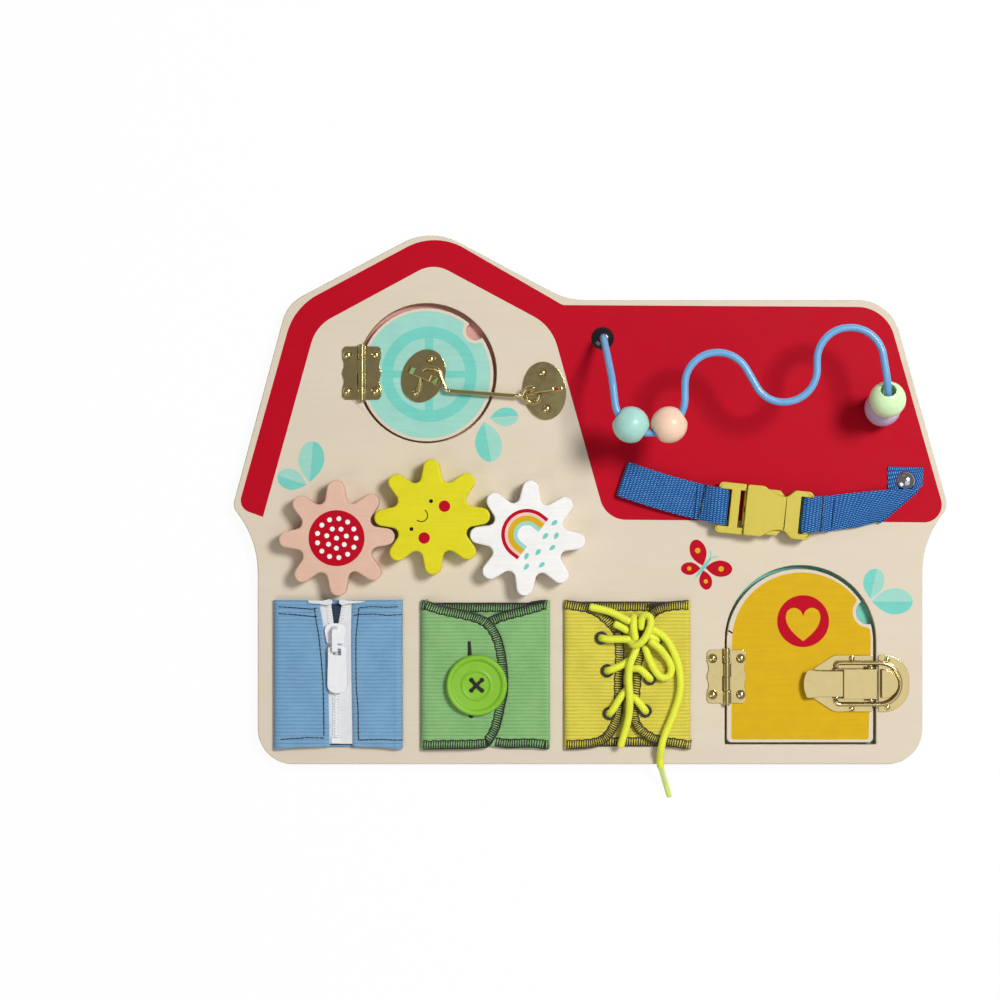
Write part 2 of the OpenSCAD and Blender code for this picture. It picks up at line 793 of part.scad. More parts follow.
module hinge_pins() {
    color(gold)
        for (hinge = [window_hinge, arch_hinge])
            translate([hinge.x, hinge.y, barrel_z])
                rotate([-90, 0, 0]) {
                    translate([0, 0, -barrel_h / 2 - 0.3])
                        cylinder(r = pin_r, h = barrel_h + 0.6, $fn = round_fn);
                    for (end = [-barrel_h / 2 - 0.6, barrel_h / 2 + 0.05])
                        translate([0, 0, end])
                            cylinder(r = knuckle_r - 0.3, h = 0.55, $fn = round_fn);
                }
}

module sheet_rivets(points) {
    at(points, face_z + sheet_t)
        rivet(rivet_head_r, rivet_head_h, rivet_r, rivet_grip + sheet_t - fit);
}

module small_rivets(points) {
    at(points, face_z + sheet_t)
        rivet(plate_rivet_r + 0.4, 0.9, rivet_r, rivet_grip + sheet_t - fit);
}

module frame_rivets() {
    color(gold) {
        sheet_rivets(frame_rivet_points);
        small_rivets(latch_points(catch_rivets));
    }
}

module window_door_rivets() {
    color(gold)
        sheet_rivets(concat(hinge_rivets(window_hinge, 1), plate_rivets(eye_pos, eye_turn)));
}

module arch_door_rivets() {
    color(gold) {
        sheet_rivets(hinge_rivets(arch_hinge, 1));
        small_rivets(latch_points(latch_rivets));
    }
}

// ---------- hook latch ----------

// Oval plate with a raised strap across its middle
module strap_plate(plate_w, plate_h, half, width, rise) {
    shoulder = 4.2;
    difference() {
        linear_extrude(sheet_t)
            polygon([for (a = [0 : 9 : 351]) [plate_w / 2 * cos(a), plate_h / 2 * sin(a)]]);
        for (dy = [-eye_rivet, eye_rivet])
            drill([0, dy], rivet_r + fit / 2, -1, sheet_t + 1);
    }
    translate([0, width / 2, sheet_t])
        rotate([90, 0, 0])
            linear_extrude(width)
                difference() {
                    polygon(rounded([
                        [-half, -eps, 0], [half, -eps, 0],
                        [half - shoulder, rise + sheet_t, 2], [shoulder - half, rise + sheet_t, 2]
                    ]));
                    polygon(rounded([
                        [1.25 - half, -1, 0], [half - 1.25, -1, 0],
                        [half - shoulder - 0.7, rise, 1.2], [shoulder - half + 0.7, rise, 1.2]
                    ]));
                }
}

module eye_plate() {
    color(gold)
        translate([eye_pos.x, eye_pos.y, face_z])
            rotate(eye_turn)
                strap_plate(eye_plate_size.x, eye_plate_size.y, eye_half, 4, eye_rise);
}

module staple_plate() {
    color(gold)
        translate([staple_pos.x, staple_pos.y, face_z])
            rotate(staple_turn)
                strap_plate(staple_plate_size.x, staple_plate_size.y, staple_half, 2, staple_rise);
}

module hook() {
    ring = [ring_pos.x, ring_pos.y, face_z + ring_z];
    color(gold) {
        translate(ring)
            rotate([ring_lean, 0, 0])
                rotate(ring_gap[1])
                    rotate_extrude(angle = 360 + ring_gap[0] - ring_gap[1], $fn = round_fn)
                        translate([ring_r, 0])
                            circle(r = hook_r, $fn = round_fn / 2);
        bent_rod(concat(
            [[ring.x - ring_r, ring.y, ring.z, 0]],
            [for (p = hook_line) [p[0], p[1], hook_z, p[2]]],
            [[hook_tip.x, hook_tip.y, hook_z, 0]]
        ), hook_r - 0.04);
    }
}

// ---------- toggle latch ----------

module latch_base() {
    color(gold)
        translate([0, latch_y, face_z]) {
            difference() {
                linear_extrude(sheet_t)
                    polygon(rounded([
                        [base_end.x, -8, 5], [137, -plate_half, 8], [base_end.y, -plate_half, 1],
                        [base_end.y, plate_half, 1], [137, plate_half, 8], [base_end.x, 8, 5]
                    ]));
                for (p = latch_rivets)
                    drill(p, rivet_r + fit / 2, -1, sheet_t + 1);
            }
            for (side = [-1, 1])
                latch_ear(side * (lever_half + 0.65));
        }
}

module latch_ear(y) {
    ear_r = 2.1;
    difference() {
        translate([0, y + 0.45, 0])
            rotate([90, 0, 0])
                linear_extrude(0.9) {
                    translate([lever_x - 3.2, sheet_t / 2])
                        square([3.2 + ear_r - 0.4, lever_z - sheet_t / 2]);
                    translate([lever_x, lever_z])
                        circle(r = ear_r, $fn = round_fn);
                }
        translate([lever_x, y + 1, lever_z])
            rotate([90, 0, 0])
                cylinder(r = pin_r + pin_gap, h = 2, $fn = round_fn);
    }
}

module latch_lever_pin() {
    half = lever_half + 1.6;
    color(gold)
        translate([lever_x, latch_y + half, face_z + lever_z])
            rotate([90, 0, 0])
                cylinder(r = pin_r, h = 2 * half, $fn = round_fn);
}

// Lever: a flat cover with two side walls and a narrower finger tab that steps down
module latch_lever() {
    cover_x = loop_x + 3.7;
    cover_top = lever_z + 2;
    cover_low = lever_z - 1.9;
    tab_top = cover_top - 1.7;
    tab_half = lever_half - 1.1;
    color(gold)
        translate([0, latch_y, face_z])
            difference() {
                union() {
                    translate([cover_x, -lever_half, cover_top - sheet_t])
                        cube([lever_x + 3.2 - cover_x, 2 * lever_half, sheet_t]);
                    for (side = [-1, 1])
                        translate([0, side * (lever_half - 0.4) + 0.4, 0])
                            rotate([90, 0, 0])
                                linear_extrude(0.8)
                                    polygon(rounded([
                                        [loop_x - 1.9, loop_z - 1.6, 1.4],
                                        [lever_x + 1.9, cover_low, 1.2],
                                        [lever_x + 2.4, cover_top, 0], [cover_x, cover_top, 0],
                                        [cover_x - 0.6, loop_z + 1.8, 0], [loop_x - 1.9, loop_z + 1.8, 1.4]
                                    ]));
                    translate([cover_x, -tab_half, tab_top - sheet_t])
                        cube([sheet_t, 2 * tab_half, cover_top - tab_top + sheet_t]);
                    translate([0, 0, tab_top - sheet_t])
                        linear_extrude(sheet_t)
                            polygon(rounded([
                                [cover_x + sheet_t, -tab_half, 0], [cover_x + sheet_t, tab_half, 0],
                                [128, tab_half, 20], [121.5, tab_half + 0.8, 1.5], [118.4, 0, 14],
                                [121.5, -tab_half - 0.8, 1.5], [128, -tab_half, 20]
                            ]));
                }
                for (hole = [[lever_x, lever_z, pin_r], [loop_x, loop_z, loop_r]])
                    translate([hole[0], 20, hole[1]])
                        rotate([90, 0, 0])
                            cylinder(r = hole[2] + pin_gap, h = 40, $fn = round_fn);
            }
}

module latch_loop() {
    inner = lever_half - 1.3;
    bend = 2;
    z = face_z + loop_z;
    color(gold)
        translate([0, latch_y, 0])
            bent_rod([
                [loop_x, inner, z, 0], [loop_x, loop_half, z, bend],
                [loop_end_x + loop_half, loop_half, z, loop_half - eps],
                [loop_end_x + loop_half, -loop_half, z, loop_half - eps],
                [loop_x, -loop_half, z, bend], [loop_x, -inner, z, 0]
            ], loop_r);
}

module catch_plate() {
    color(gold)
        translate([0, latch_y, face_z]) {
            difference() {
                linear_extrude(sheet_t)
                    polygon(rounded([
                        [catch_x, -plate_half, 0.6], [179.4, -plate_half, 14], [179.4, plate_half, 14],
                        [catch_x, plate_half, 0.6]
                    ]));
                for (p = catch_rivets)
                    drill(p, rivet_r + fit / 2, -1, sheet_t + 1);
            }
            translate([0, 0, sheet_t / 2])
                linear_extrude(catch_h) {
                    translate([boss_flat_x, -boss_half])
                        square([boss_x - boss_flat_x, 2 * boss_half]);
                    intersection() {
                        translate([boss_x, 0])
                            circle(r = boss_half, $fn = round_fn * 2);
                        translate([boss_x, -boss_half])
                            square(2 * boss_half);
                    }
                }
        }
}

// ---------- gears ----------

module gear(i) {
    translate([gear_centres[i].x, gear_centres[i].y, gear_z])
        difference() {
            linear_extrude(gear_t)
                rotate(gear_phase[i])
                    polygon(gear_outline());
            translate([0, 0, -1])
                cylinder(r = axle_r + fit / 2, h = axle_depth + fit + 1, $fn = round_fn);
        }
}

module axle(i) {
    color(wood)
        difference() {
            drill(gear_centres[i], axle_r, back_t - 0.4, gear_z + axle_depth);
            drill(gear_centres[i], 1.5, back_t - 1, gear_z + 4.1);
        }
}

module axle_screw(i) {
    color(steel) {
        drill(gear_centres[i], screw_head_r, back_t - 1.7, back_t - 0.4);
        drill(gear_centres[i], 2.8, back_t - 3, back_t - 1.6);
        drill(gear_centres[i], 1.45, back_t - 1.7, gear_z + 4);
    }
}

module gear_pink() {
    color("LightPink")
        gear(0);
}

module gear_yellow() {
    color("Yellow")
        gear(1);
}

module gear_white() {
    color(white)
        gear(2);
}

module axle_pink() {
    axle(0);
}

module axle_yellow() {
    axle(1);
}

module axle_white() {
    axle(2);
}

module axle_screw_pink() {
    axle_screw(0);
}

module axle_screw_yellow() {
    axle_screw(1);
}

module axle_screw_white() {
    axle_screw(2);
}

// ---------- bead track ----------

module wire_track() {
    color("CornflowerBlue")
        bent_rod(track, wire_r);
}

module track_grommets() {
    dome_r = (grommet_r * grommet_r + grommet_h * grommet_h) / (2 * grommet_h);
    color("DimGray")
        at([track_foot, leg_foot], face_z)
            difference() {
                intersection() {
                    translate([0, 0, grommet_h - dome_r])
                        sphere(r = dome_r, $fn = round_fn);
                    cylinder(r = grommet_r, h = grommet_h, $fn = round_fn);
                }
                translate([0, 0, -1])
                    cylinder(r = wire_r + fit, h = grommet_h + 2, $fn = round_fn);
            }
}

module track_nuts() {
    color(steel)
        at([track_foot, leg_foot], 0.9)
            difference() {
                cylinder(r = 4, h = back_t - 0.9, $fn = 6);
                translate([0, 0, -1])
                    cylinder(r = wire_r + fit, h = back_t + 1, $fn = round_fn);
            }
}

// Bead centred at pos with its hole along the direction
module bead(pos, dir) {
    translate(pos)
        rotate([0, acos(dir.z), atan2(dir.y, dir.x)])
            difference() {
                sphere(r = bead_r, $fn = round_fn);
                cylinder(r = bead_hole_r, h = 3 * bead_r, center = true, $fn = round_fn);
            }
}

module valley_bead(side) {
    a = 270 + side * valley_angle;
    pos = valley_mid + valley_bead_r * [cos(a), sin(a)];
    bead([pos.x, pos.y, wire_z], [-sin(a), cos(a), 0]);
}

module bead_teal() {
    color("PaleTurquoise")
        valley_bead(-1);
}

module bead_peach() {
    color("PeachPuff")
        valley_bead(1);
}

module bead_green() {
    reach = leg_r - 1.1;
    pos = leg_mid + leg_dir * reach * cos(green_lean);
    color("PaleGreen")
        bead(
            [pos.x, pos.y, wire_z - leg_r + reach * sin(green_lean)],
            [-leg_dir.x * sin(green_lean), -leg_dir.y * sin(green_lean), cos(green_lean)]
        );
}

module bead_lilac() {
    color("Thistle")
        bead([leg_foot.x, leg_foot.y, lilac_z], [0, 0, 1]);
}

// ---------- strap and buckle ----------

module buckle_frame() {
    translate([buckle_pos.x, buckle_pos.y, buckle_z])
        rotate(buckle_turn)
            children();
}

// End of a strap that loops round a bar; dir is the way from the bar to the strap
module strap_end(bar_u, dir) {
    loop_path = concat(
        [[stitch_run + 2, -loop_bend], [3, -loop_bend]],
        arc([0, 0], loop_bend, 270, 90, 14),
        [[3, loop_bend], [stitch_run - 4, 0.4 - loop_bend + 2.2 * strap_t],
            [stitch_run, -loop_bend + strap_t + 0.05]]
    );
    translate([bar_u, -strap_w / 2, 0])
        mirror([dir < 0 ? 1 : 0, 0, 0])
            translate([0, strap_w, 0])
                rotate([90, 0, 0])
                    linear_extrude(strap_w)
                        polygon(ribbon(loop_path, strap_t));
}

module strap_left() {
    tail_z = face_z + strap_t / 2;
    lift = strap_z + 1.4 - tail_z;
    fold_r = lift / 2;
    path = concat(
        [[16, tail_z]],
        arc([fold_r + strap_t / 2, tail_z + fold_r], fold_r, 270, 90, 10),
        [[16, strap_z + 1.4], [left_run + 1, strap_z]]
    );
    color(webbing) {
        difference() {
            translate([left_end.x, left_end.y, 0])
                rotate(left_turn)
                    translate([0, strap_w / 2, 0])
                        rotate([90, 0, 0])
                            linear_extrude(strap_w)
                                polygon(ribbon(path, strap_t));
            drill(left_rivet, 2 + fit / 2, face_z - 1, face_z + strap_t + eps);
        }
        buckle_frame()
            strap_end(bar_plug, -1);
    }
}

module strap_right() {
    fold_r = 1.65;
    low = strap_fold[0];
    high = strap_fold[1];
    color(webbing) {
        difference() {
            translate([0, 0, face_z])
                linear_extrude(strap_t)
                    polygon(concat(strap_tail, [high, low], strap_tuck));
            drill(right_rivet, 2 + fit / 2, face_z - 1, face_z + strap_t + 1);
        }
        translate([0, 0, strap_z - strap_t / 2])
            linear_extrude(strap_t)
                polygon(concat(strap_top_low, [low, high], strap_top_high));
        translate([0, 0, face_z])
            linear_extrude(strap_z + strap_t / 2 - face_z)
                polygon(ribbon([low, high], fold_r));
        buckle_frame()
            strap_end(bar_socket, 1);
    }
}

module strap_rivets() {
    color(steel) {
        at([right_rivet], face_z + strap_t)
            rivet(right_rivet_r - 0.4, 2.8, 2, strap_t + 4);
        at([left_rivet], face_z + strap_t)
            rivet(4.3, 1.1, 2, strap_t + 4);
    }
}

module slab(outline, half_t) {
    translate([0, 0, -half_t])
        linear_extrude(2 * half_t)
            polygon(rounded(outline));
}

module buckle_socket() {
    half = buckle_w / 2;
    mouth = -9.5;
    body_end = 20.8;
    cavity = arm_out + 0.2;
    neck = [13, 9.4];
    plate = [
        [mouth, -half, 1.5], [0, -half, 2], [7, -half + 4.6, 8], [neck.x, -neck.y, 3],
        [17.5, -half + 0.6, 3], [bar_socket + 2.6, -half + 0.6, 3],
        [bar_socket + 2.6, half - 0.6, 3], [17.5, half - 0.6, 3],
        [neck.x, neck.y, 3], [7, half - 4.6, 8], [0, half, 2], [mouth, half, 1.5]
    ];
    color(plastic)
        buckle_frame()
            difference() {
                slab(plate, buckle_t / 2);
                translate([mouth - 1, -cavity, -buckle_t / 2 + socket_wall])
                    cube([neck.x - mouth + 1, 2 * cavity, buckle_t - 2 * socket_wall]);
                translate([body_end, -rail_in, -buckle_t])
                    cube([bar_socket - bar_w / 2 - body_end, 2 * rail_in, 2 * buckle_t]);
                translate([bar_socket - bar_w / 2 - 1, -rail_in, bar_h / 2])
                    cube([20, 2 * rail_in, buckle_t]);
                translate([bar_socket - bar_w / 2 - 1, -rail_in, -bar_h / 2 - buckle_t])
                    cube([20, 2 * rail_in, buckle_t]);
                translate([bar_socket + bar_w / 2, -rail_in, -buckle_t])
                    cube([20, 2 * rail_in, 2 * buckle_t]);
            }
}

module buckle_plug() {
    half = buckle_w / 2;
    frame_end = -9.9;
    arm_in = 8.4;
    color(plastic)
        buckle_frame() {
            difference() {
                slab([
                    [bar_plug - 2.8, -half, 2.5], [frame_end, -half, 1], [frame_end, half, 1],
                    [bar_plug - 2.8, half, 2.5]
                ], plug_half_t);
                for (gap = [[bar_plug + bar_w / 2, 3], [-13, 3]])
                    translate([gap[0], -rail_in, -buckle_t])
                        cube([gap[1], 2 * rail_in, 2 * buckle_t]);
                translate([bar_plug - 10, -rail_in, -buckle_t])
                    cube([10 - bar_w / 2, 2 * rail_in, 2 * buckle_t]);
                for (side = [0, 1])
                    mirror([0, 0, side])
                        translate([bar_plug - 10, -rail_in, bar_h / 2])
                            cube([13, 2 * rail_in, buckle_t]);
            }
            for (side = [0, 1])
                mirror([0, side, 0])
                    slab([
                        [frame_end - 0.5, arm_in, 0], [10.6, arm_in, 1.5], [12, 9.6, 1.2], [9, arm_out, 1.5],
                        [2, arm_out, 1.5], [frame_end - 0.5, arm_in + 3, 0]
                    ], plug_half_t);
            slab([
                [frame_end - 0.5, -2, 0], [8, -2, 1.5], [8, 2, 1.5], [frame_end - 0.5, 2, 0]
            ], plug_half_t);
        }
}

// ---------- cloth panels ----------

// Cloth that comes up out of a slot at x and turns to lie flat at height z; side points inwards
module slot_edge(x, side, z) {
    bend = 2;
    path = concat(
        [[0, back_t + 1.5], [0, z - bend]],
        [for (a = [170 : -10 : 90]) [bend + bend * cos(a), z - bend + bend * sin(a)]],
        [[bend + 2, z]]
    );
    translate([x, cloth_top, 0])
        mirror([side < 0 ? 1 : 0, 0, 0])
            rotate([90, 0, 0])
                linear_extrude(cloth_h)
                    polygon(ribbon(path, cloth_t));
}

module cloth_sheet(points, low) {
    translate([0, 0, low])
        linear_extrude(cloth_t)
            polygon(rounded(points));
}

module zip_panel_left() {
    edge = zip_mid - tape_w / 2;
    color(denim) {
        slot_edge(slots[0], 1, denim_z + cloth_t / 2);
        cloth_sheet([
            [slots[0] + 3, cloth_bottom, 0], [edge + 2.4, cloth_bottom, 0], [edge - 2, cloth_top - 36, 60],
            [edge - 1.6, cloth_top, 0], [slots[0] + 3, cloth_top, 0]
        ], denim_z);
    }
}

module zip_panel_right() {
    edge = zip_mid + tape_w / 2;
    color(denim) {
        slot_edge(slots[1], -1, denim_z + cloth_t / 2);
        cloth_sheet([
            [edge, cloth_bottom, 0], [slots[1] - 3, cloth_bottom, 0], [slots[1] - 3, cloth_top, 0],
            [edge, cloth_top, 0]
        ], denim_z);
    }
}

// One zip tape and its teeth, right of the middle line, closed up to the slider and open above it
module half_chain() {
    closed = chain_split - chain_end;
    spread = 9;
    outer = tape_w / 2 + 2.5;
    top_gap = (cloth_top - chain_split) * tan(spread);
    translate([0, 0, tape_z])
        linear_extrude(tape_t)
            polygon([
                [chain_gap, cloth_bottom + 1], [outer, cloth_bottom + 1], [outer, cloth_top - 0.5],
                [chain_gap + top_gap, cloth_top - 0.5], [chain_gap, chain_split]
            ]);
    translate([0, 0, chain_z])
        linear_extrude(tooth_t) {
            translate([chain_gap, chain_end])
                square([1.2, closed]);
            for (y = [chain_end + tooth_pitch / 2 : tooth_pitch : chain_split - 1])
                translate([chain_gap, y - 0.4])
                    square([chain_half - chain_gap, 0.8]);
            translate([chain_gap, chain_split])
                rotate(-spread)
                    translate([0, -0.2])
                        square([2.2, cloth_top - chain_split - 1]);
        }
    translate([chain_gap, chain_end - 3, chain_z])
        cube([chain_half - chain_gap + 0.4, 3, tooth_t + 0.4]);
}

module zip_chain() {
    color(white)
        translate([zip_mid, 0, 0])
            for (side = [0, 1])
                mirror([side, 0, 0])
                    half_chain();
}

module zip_slider() {
    bridge_half = 1.6;
    low = chain_z - soft_gap - 0.8;
    high = chain_z + tooth_t + 0.7;
    color(white)
        translate([zip_mid, slider_y, 0]) {
            for (z = [low, high])
                translate([0, 0, z])
                    linear_extrude(z == low ? 0.8 : 1)
                        polygon(rounded([
                            [-slider_w / 2 + 2, -slider_l / 2, 2], [slider_w / 2 - 2, -slider_l / 2, 2],
                            [slider_w / 2, slider_l / 2, 4], [-slider_w / 2, slider_l / 2, 4]
                        ]));
            translate([-0.4, 1.5, low])
                cube([0.8, 2.6, high + 0.5 - low]);
            translate([-bridge_half, 0, high + 0.9])
                rotate([90, 0, 90])
                    linear_extrude(2 * bridge_half)
                        polygon(rounded([
                            [4.5, 0, 0], [2.6, 4.6, 1.5], [-10.4, 4.6, 1.5], [-10.4, 0.2, 0.5],
                            [-9.2, 0.2, 0.5], [-9.2, 3.4, 0.5], [0.6, 3.4, 1], [0.8, 0, 0]
                        ]));
        }
}

// Pull tab: its cross bar sits under the slider's bridge
module zip_pull() {
    bar_r = 0.8;
    color(white)
        translate([zip_mid, pull_y, pull_z])
            rotate([pull_drop, 0, 0])
                difference() {
                    union() {
                        rotate([0, 90, 0])
                            cylinder(r = bar_r, h = pull_w - 3, center = true, $fn = round_fn);
                        translate([0, 0, -bar_r])
                            linear_extrude(2 * bar_r)
                                polygon(rounded([
                                    [-pull_w / 2 + 0.6, 0, 0], [pull_w / 2 - 0.6, 0, 0],
                                    [pull_w / 2, -pull_l, 4.6], [-pull_w / 2, -pull_l, 4.6]
                                ]));
                    }
                    translate([-2.1, -4.5, -5])
                        cube([4.2, 3.7, 10]);
                }
}

module button_panel() {
    inner = button_pos.x - 6;
    color(green_cloth) {
        slot_edge(slots[3], -1, under_z + cloth_t / 2);
        cloth_sheet([
            [inner, cloth_bottom + 2, 0], [slots[3] - 3, cloth_bottom, 0], [slots[3] - 3, cloth_top, 0],
            [inner, cloth_top - 2, 0]
        ], under_z);
    }
}

module button_flap() {
    color(green_cloth) {
        slot_edge(slots[2], 1, flap_z + cloth_t / 2);
        difference() {
            cloth_sheet([
                [slots[2] + 3, cloth_bottom - 1.4, 0], [flap_edge[0], cloth_bottom - 1.4, 0],
                flap_point, [flap_edge[1], cloth_top, 0], [slots[2] + 3, cloth_top, 0]
            ], flap_z);
            translate([button_pos.x - 1.8, button_pos.y - 12, flap_z - 1])
                cube([3.6, 24, cloth_t + 2]);
        }
    }
}

module button() {
    rim = 2.6;
    hole_off = 2.9;
    color("LimeGreen")
        translate([button_pos.x, button_pos.y, button_z])
            difference() {
                rotate_extrude($fn = round_fn * 2)
                    polygon([
                        [0, 0], [button_r - 2.5, 0], [button_r - 0.8, 0.7], [button_r, 2],
                        [button_r - 0.5, button_t - 0.5], [button_r - 1.2, button_t],
                        [button_r - rim, button_t - 0.2], [button_r - rim - 1.2, button_t - 1.3],
                        [9, button_t - 1.5], [8, button_t - 0.9], [7, button_t - 1.6], [0, button_t - 1.8]
                    ]);
                for (sx = [-1, 1], sy = [-1, 1])
                    translate([sx * hole_off, sy * hole_off, -1])
                        cylinder(r = 1.3, h = button_t + 2, $fn = round_fn / 2);
            }
}

module button_thread() {
    color("DimGray")
        drill(button_pos, 1.5, under_z + cloth_t, button_z - 0.1);
}

module lace_panel() {
    color(yellow_cloth)
        translate([lace_x + 5, cloth_bottom + 0.6, face_z])
            cube([lace_w - 10, cloth_h - 1.2, tongue_t]);
}

module eyelet_holes(points) {
    for (p = points)
        drill(p, eyelet_r - 1, face_z, face_z + 20);
}

module lace_flap_left() {
    color(yellow_cloth)
        difference() {
            union() {
                slot_edge(slots[4], 1, lace_flap_z + cloth_t / 2);
                cloth_sheet([
                    [slots[4] + 3, cloth_bottom, 0], [6, cloth_bottom, 10], [19.5, -122, 20],
                    [19.5, -76, 30], [4, cloth_top, 14], [slots[4] + 3, cloth_top, 0]
                ], lace_flap_z);
            }
            eyelet_holes(eyelets_left);
        }
}

module lace_flap_right() {
    color(yellow_cloth)
        difference() {
            union() {
                slot_edge(slots[5], -1, lace_flap_z + cloth_t / 2);
                cloth_sheet([
                    [slots[5] - 3, cloth_bottom, 0], [slots[5] - 3, cloth_top, 0], [30, cloth_top, 14],
                    [26.5, -82, 30], [23.5, -126, 20], [33, cloth_bottom, 10]
                ], lace_flap_z);
            }
            eyelet_holes(eyelets_right);
        }
}

module eyelets() {
    color("DimGray")
        at(concat(eyelets_left, eyelets_right), lace_flap_z)
            difference() {
                union() {
                    cylinder(r = eyelet_r - 1, h = cloth_t + eyelet_h, $fn = round_fn);
                    translate([0, 0, cloth_t])
                        cylinder(r = eyelet_r, h = eyelet_h, $fn = round_fn);
                }
                translate([0, 0, -1])
                    cylinder(r = eyelet_hole_r, h = 5, $fn = round_fn);
            }
}

module lace_strands() {
    color(neon)
        for (route = strand_routes)
            tube(route, lace_r);
}

module lace_knot() {
    color(neon)
        for (route = knot_routes)
            tube(route, lace_r);
}

module lace_long() {
    color(neon)
        tube(long_route, lace_r);
}

module lace_ends() {
    color(neon)
        for (route = concat([short_route, bow_route], tail_routes))
            tube(route, lace_r);
}

module lace_tip() {
    color(white)
        tube(tip_route, lace_r - 0.1);
}

back_board();
front_board();
board_screws();
window_door();
arch_door();
window_hinge_frame_leaf();
window_hinge_door_leaf();
arch_hinge_frame_leaf();
arch_hinge_door_leaf();
hinge_pins();
frame_rivets();
window_door_rivets();
arch_door_rivets();
eye_plate();
staple_plate();
hook();
latch_base();
latch_lever();
latch_lever_pin();
latch_loop();
catch_plate();
gear_pink();
gear_yellow();
gear_white();
axle_pink();
axle_yellow();
axle_white();
axle_screw_pink();
axle_screw_yellow();
axle_screw_white();
wire_track();
track_grommets();
track_nuts();
bead_teal();
bead_peach();
bead_green();
bead_lilac();
strap_left();
strap_right();
buckle_socket();
buckle_plug();
strap_rivets();
zip_panel_left();
zip_panel_right();
zip_chain();
zip_slider();
zip_pull();
button_panel();
button_flap();
button();
button_thread();
lace_panel();
lace_flap_left();
lace_flap_right();
eyelets();
lace_strands();
lace_knot();
lace_long();
lace_ends();
lace_tip();
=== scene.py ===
"""Looks of a wooden busy board in the shape of a barn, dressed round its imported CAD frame.

Sizes are written in millimetres in the board's own frame: +X right, +Y towards the roof ridge and
+Z out of the face, with the origin at the middle of the rear face.
"""

import json
import logging
import math
from dataclasses import dataclass, field
from enum import Enum
from typing import Callable, Sequence

import bpy
from mathutils import Matrix, Vector

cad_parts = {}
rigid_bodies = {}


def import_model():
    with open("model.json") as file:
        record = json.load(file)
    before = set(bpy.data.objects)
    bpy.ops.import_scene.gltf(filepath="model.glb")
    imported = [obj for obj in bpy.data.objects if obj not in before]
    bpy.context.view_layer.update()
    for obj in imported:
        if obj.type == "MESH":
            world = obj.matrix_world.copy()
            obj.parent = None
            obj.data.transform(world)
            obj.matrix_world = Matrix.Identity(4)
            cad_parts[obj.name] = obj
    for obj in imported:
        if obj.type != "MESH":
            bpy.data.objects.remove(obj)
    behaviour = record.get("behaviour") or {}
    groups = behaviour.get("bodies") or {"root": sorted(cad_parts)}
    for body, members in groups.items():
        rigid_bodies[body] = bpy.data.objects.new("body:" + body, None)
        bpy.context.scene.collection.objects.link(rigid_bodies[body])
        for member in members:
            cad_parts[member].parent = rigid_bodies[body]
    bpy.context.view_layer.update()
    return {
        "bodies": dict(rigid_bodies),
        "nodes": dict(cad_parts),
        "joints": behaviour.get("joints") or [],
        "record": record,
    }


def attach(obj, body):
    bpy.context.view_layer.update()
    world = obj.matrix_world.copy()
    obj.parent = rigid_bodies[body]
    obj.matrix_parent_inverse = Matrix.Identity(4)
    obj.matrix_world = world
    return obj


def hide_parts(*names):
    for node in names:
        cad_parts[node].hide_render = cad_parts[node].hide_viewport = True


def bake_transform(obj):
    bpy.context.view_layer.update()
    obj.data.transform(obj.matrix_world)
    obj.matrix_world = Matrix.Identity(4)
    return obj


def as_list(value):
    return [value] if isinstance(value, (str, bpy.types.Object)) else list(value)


MM = 0.001
FACE = 10.0  # height of the front panel's face
BACK = 4.0  # height of the rear panel's face, seen through the cut-outs
FILM = 0.03  # thickness of a print
GEAR_TOP = 22.5  # height of the gears' upper faces
CLOTH_TOP = -57.0  # upper end of the slots that the cloth comes out of
CLOTH_LOW = -139.4  # lower end of the slots
BULGE = 1.55  # how far the cloth bulges back over the edge of its slot
LACE_R = 2.1
EYELET_TOP = 14.4

Point = tuple[float, float]
Outline = list[Point]
Route = list[Vector]
Corner = tuple[float, float, float]
Box = tuple[float, float, float, float]
Height = Callable[[float, float], float]
Piece = bpy.types.Object
Tree = bpy.types.NodeTree
Socket = bpy.types.NodeSocket

logging.basicConfig(level=logging.INFO, format="%(name)s: %(message)s")
log = logging.getLogger("busy_board")


# ---- plane geometry


def turned(point: Point, degrees: float, about: Point = (0.0, 0.0)) -> Point:
    """Turn a point about another.

    Args:
        point: the point to turn.
        degrees: anticlockwise angle.
        about: centre of the turn, and the origin that the point is measured from.

    Returns:
        The turned point, moved by the centre.
    """
    c, s = math.cos(math.radians(degrees)), math.sin(math.radians(degrees))
    return (about[0] + point[0] * c - point[1] * s, about[1] + point[0] * s + point[1] * c)


def arc(centre: Point, radius: float, start: float, end: float, steps: int = 24) -> Outline:
    """Points on an arc from start to end, in degrees.

    Args:
        centre: middle of the arc.
        radius: its radius.
        start: first angle.
        end: last angle.
        steps: number of chords.

    Returns:
        The points from start to end.
    """
    return [turned((radius, 0), start + (end - start) * i / steps, centre) for i in range(steps + 1)]


def circle(centre: Point, radius: float, sides: int = 64) -> Outline:
    """Closed outline of a circle."""
    return arc(centre, radius, 0, 360, sides)[:-1]


def bearing(way: Vector) -> float:
    """Direction of a vector in degrees, anticlockwise from +X."""
    return math.degrees(math.atan2(way.y, way.x))


def fillet(before: Vector, here: Vector, after: Vector, radius: float) -> tuple[Vector, Vector, Vector]:
    """Round bend that takes the place of a corner.

    Args:
        before: the corner before it.
        here: the corner.
        after: the corner after it.
        radius: radius of the bend.

    Returns:
        The middle of the bend, and the ways from there to its two ends.
    """
    back, on = (before - here).normalized(), (after - here).normalized()
    half = math.acos(max(-1.0, min(1.0, back.dot(on)))) / 2
    mid = here + (back + on).normalized() * radius / math.sin(half)
    return mid, here + back * radius / math.tan(half) - mid, here + on * radius / math.tan(half) - mid


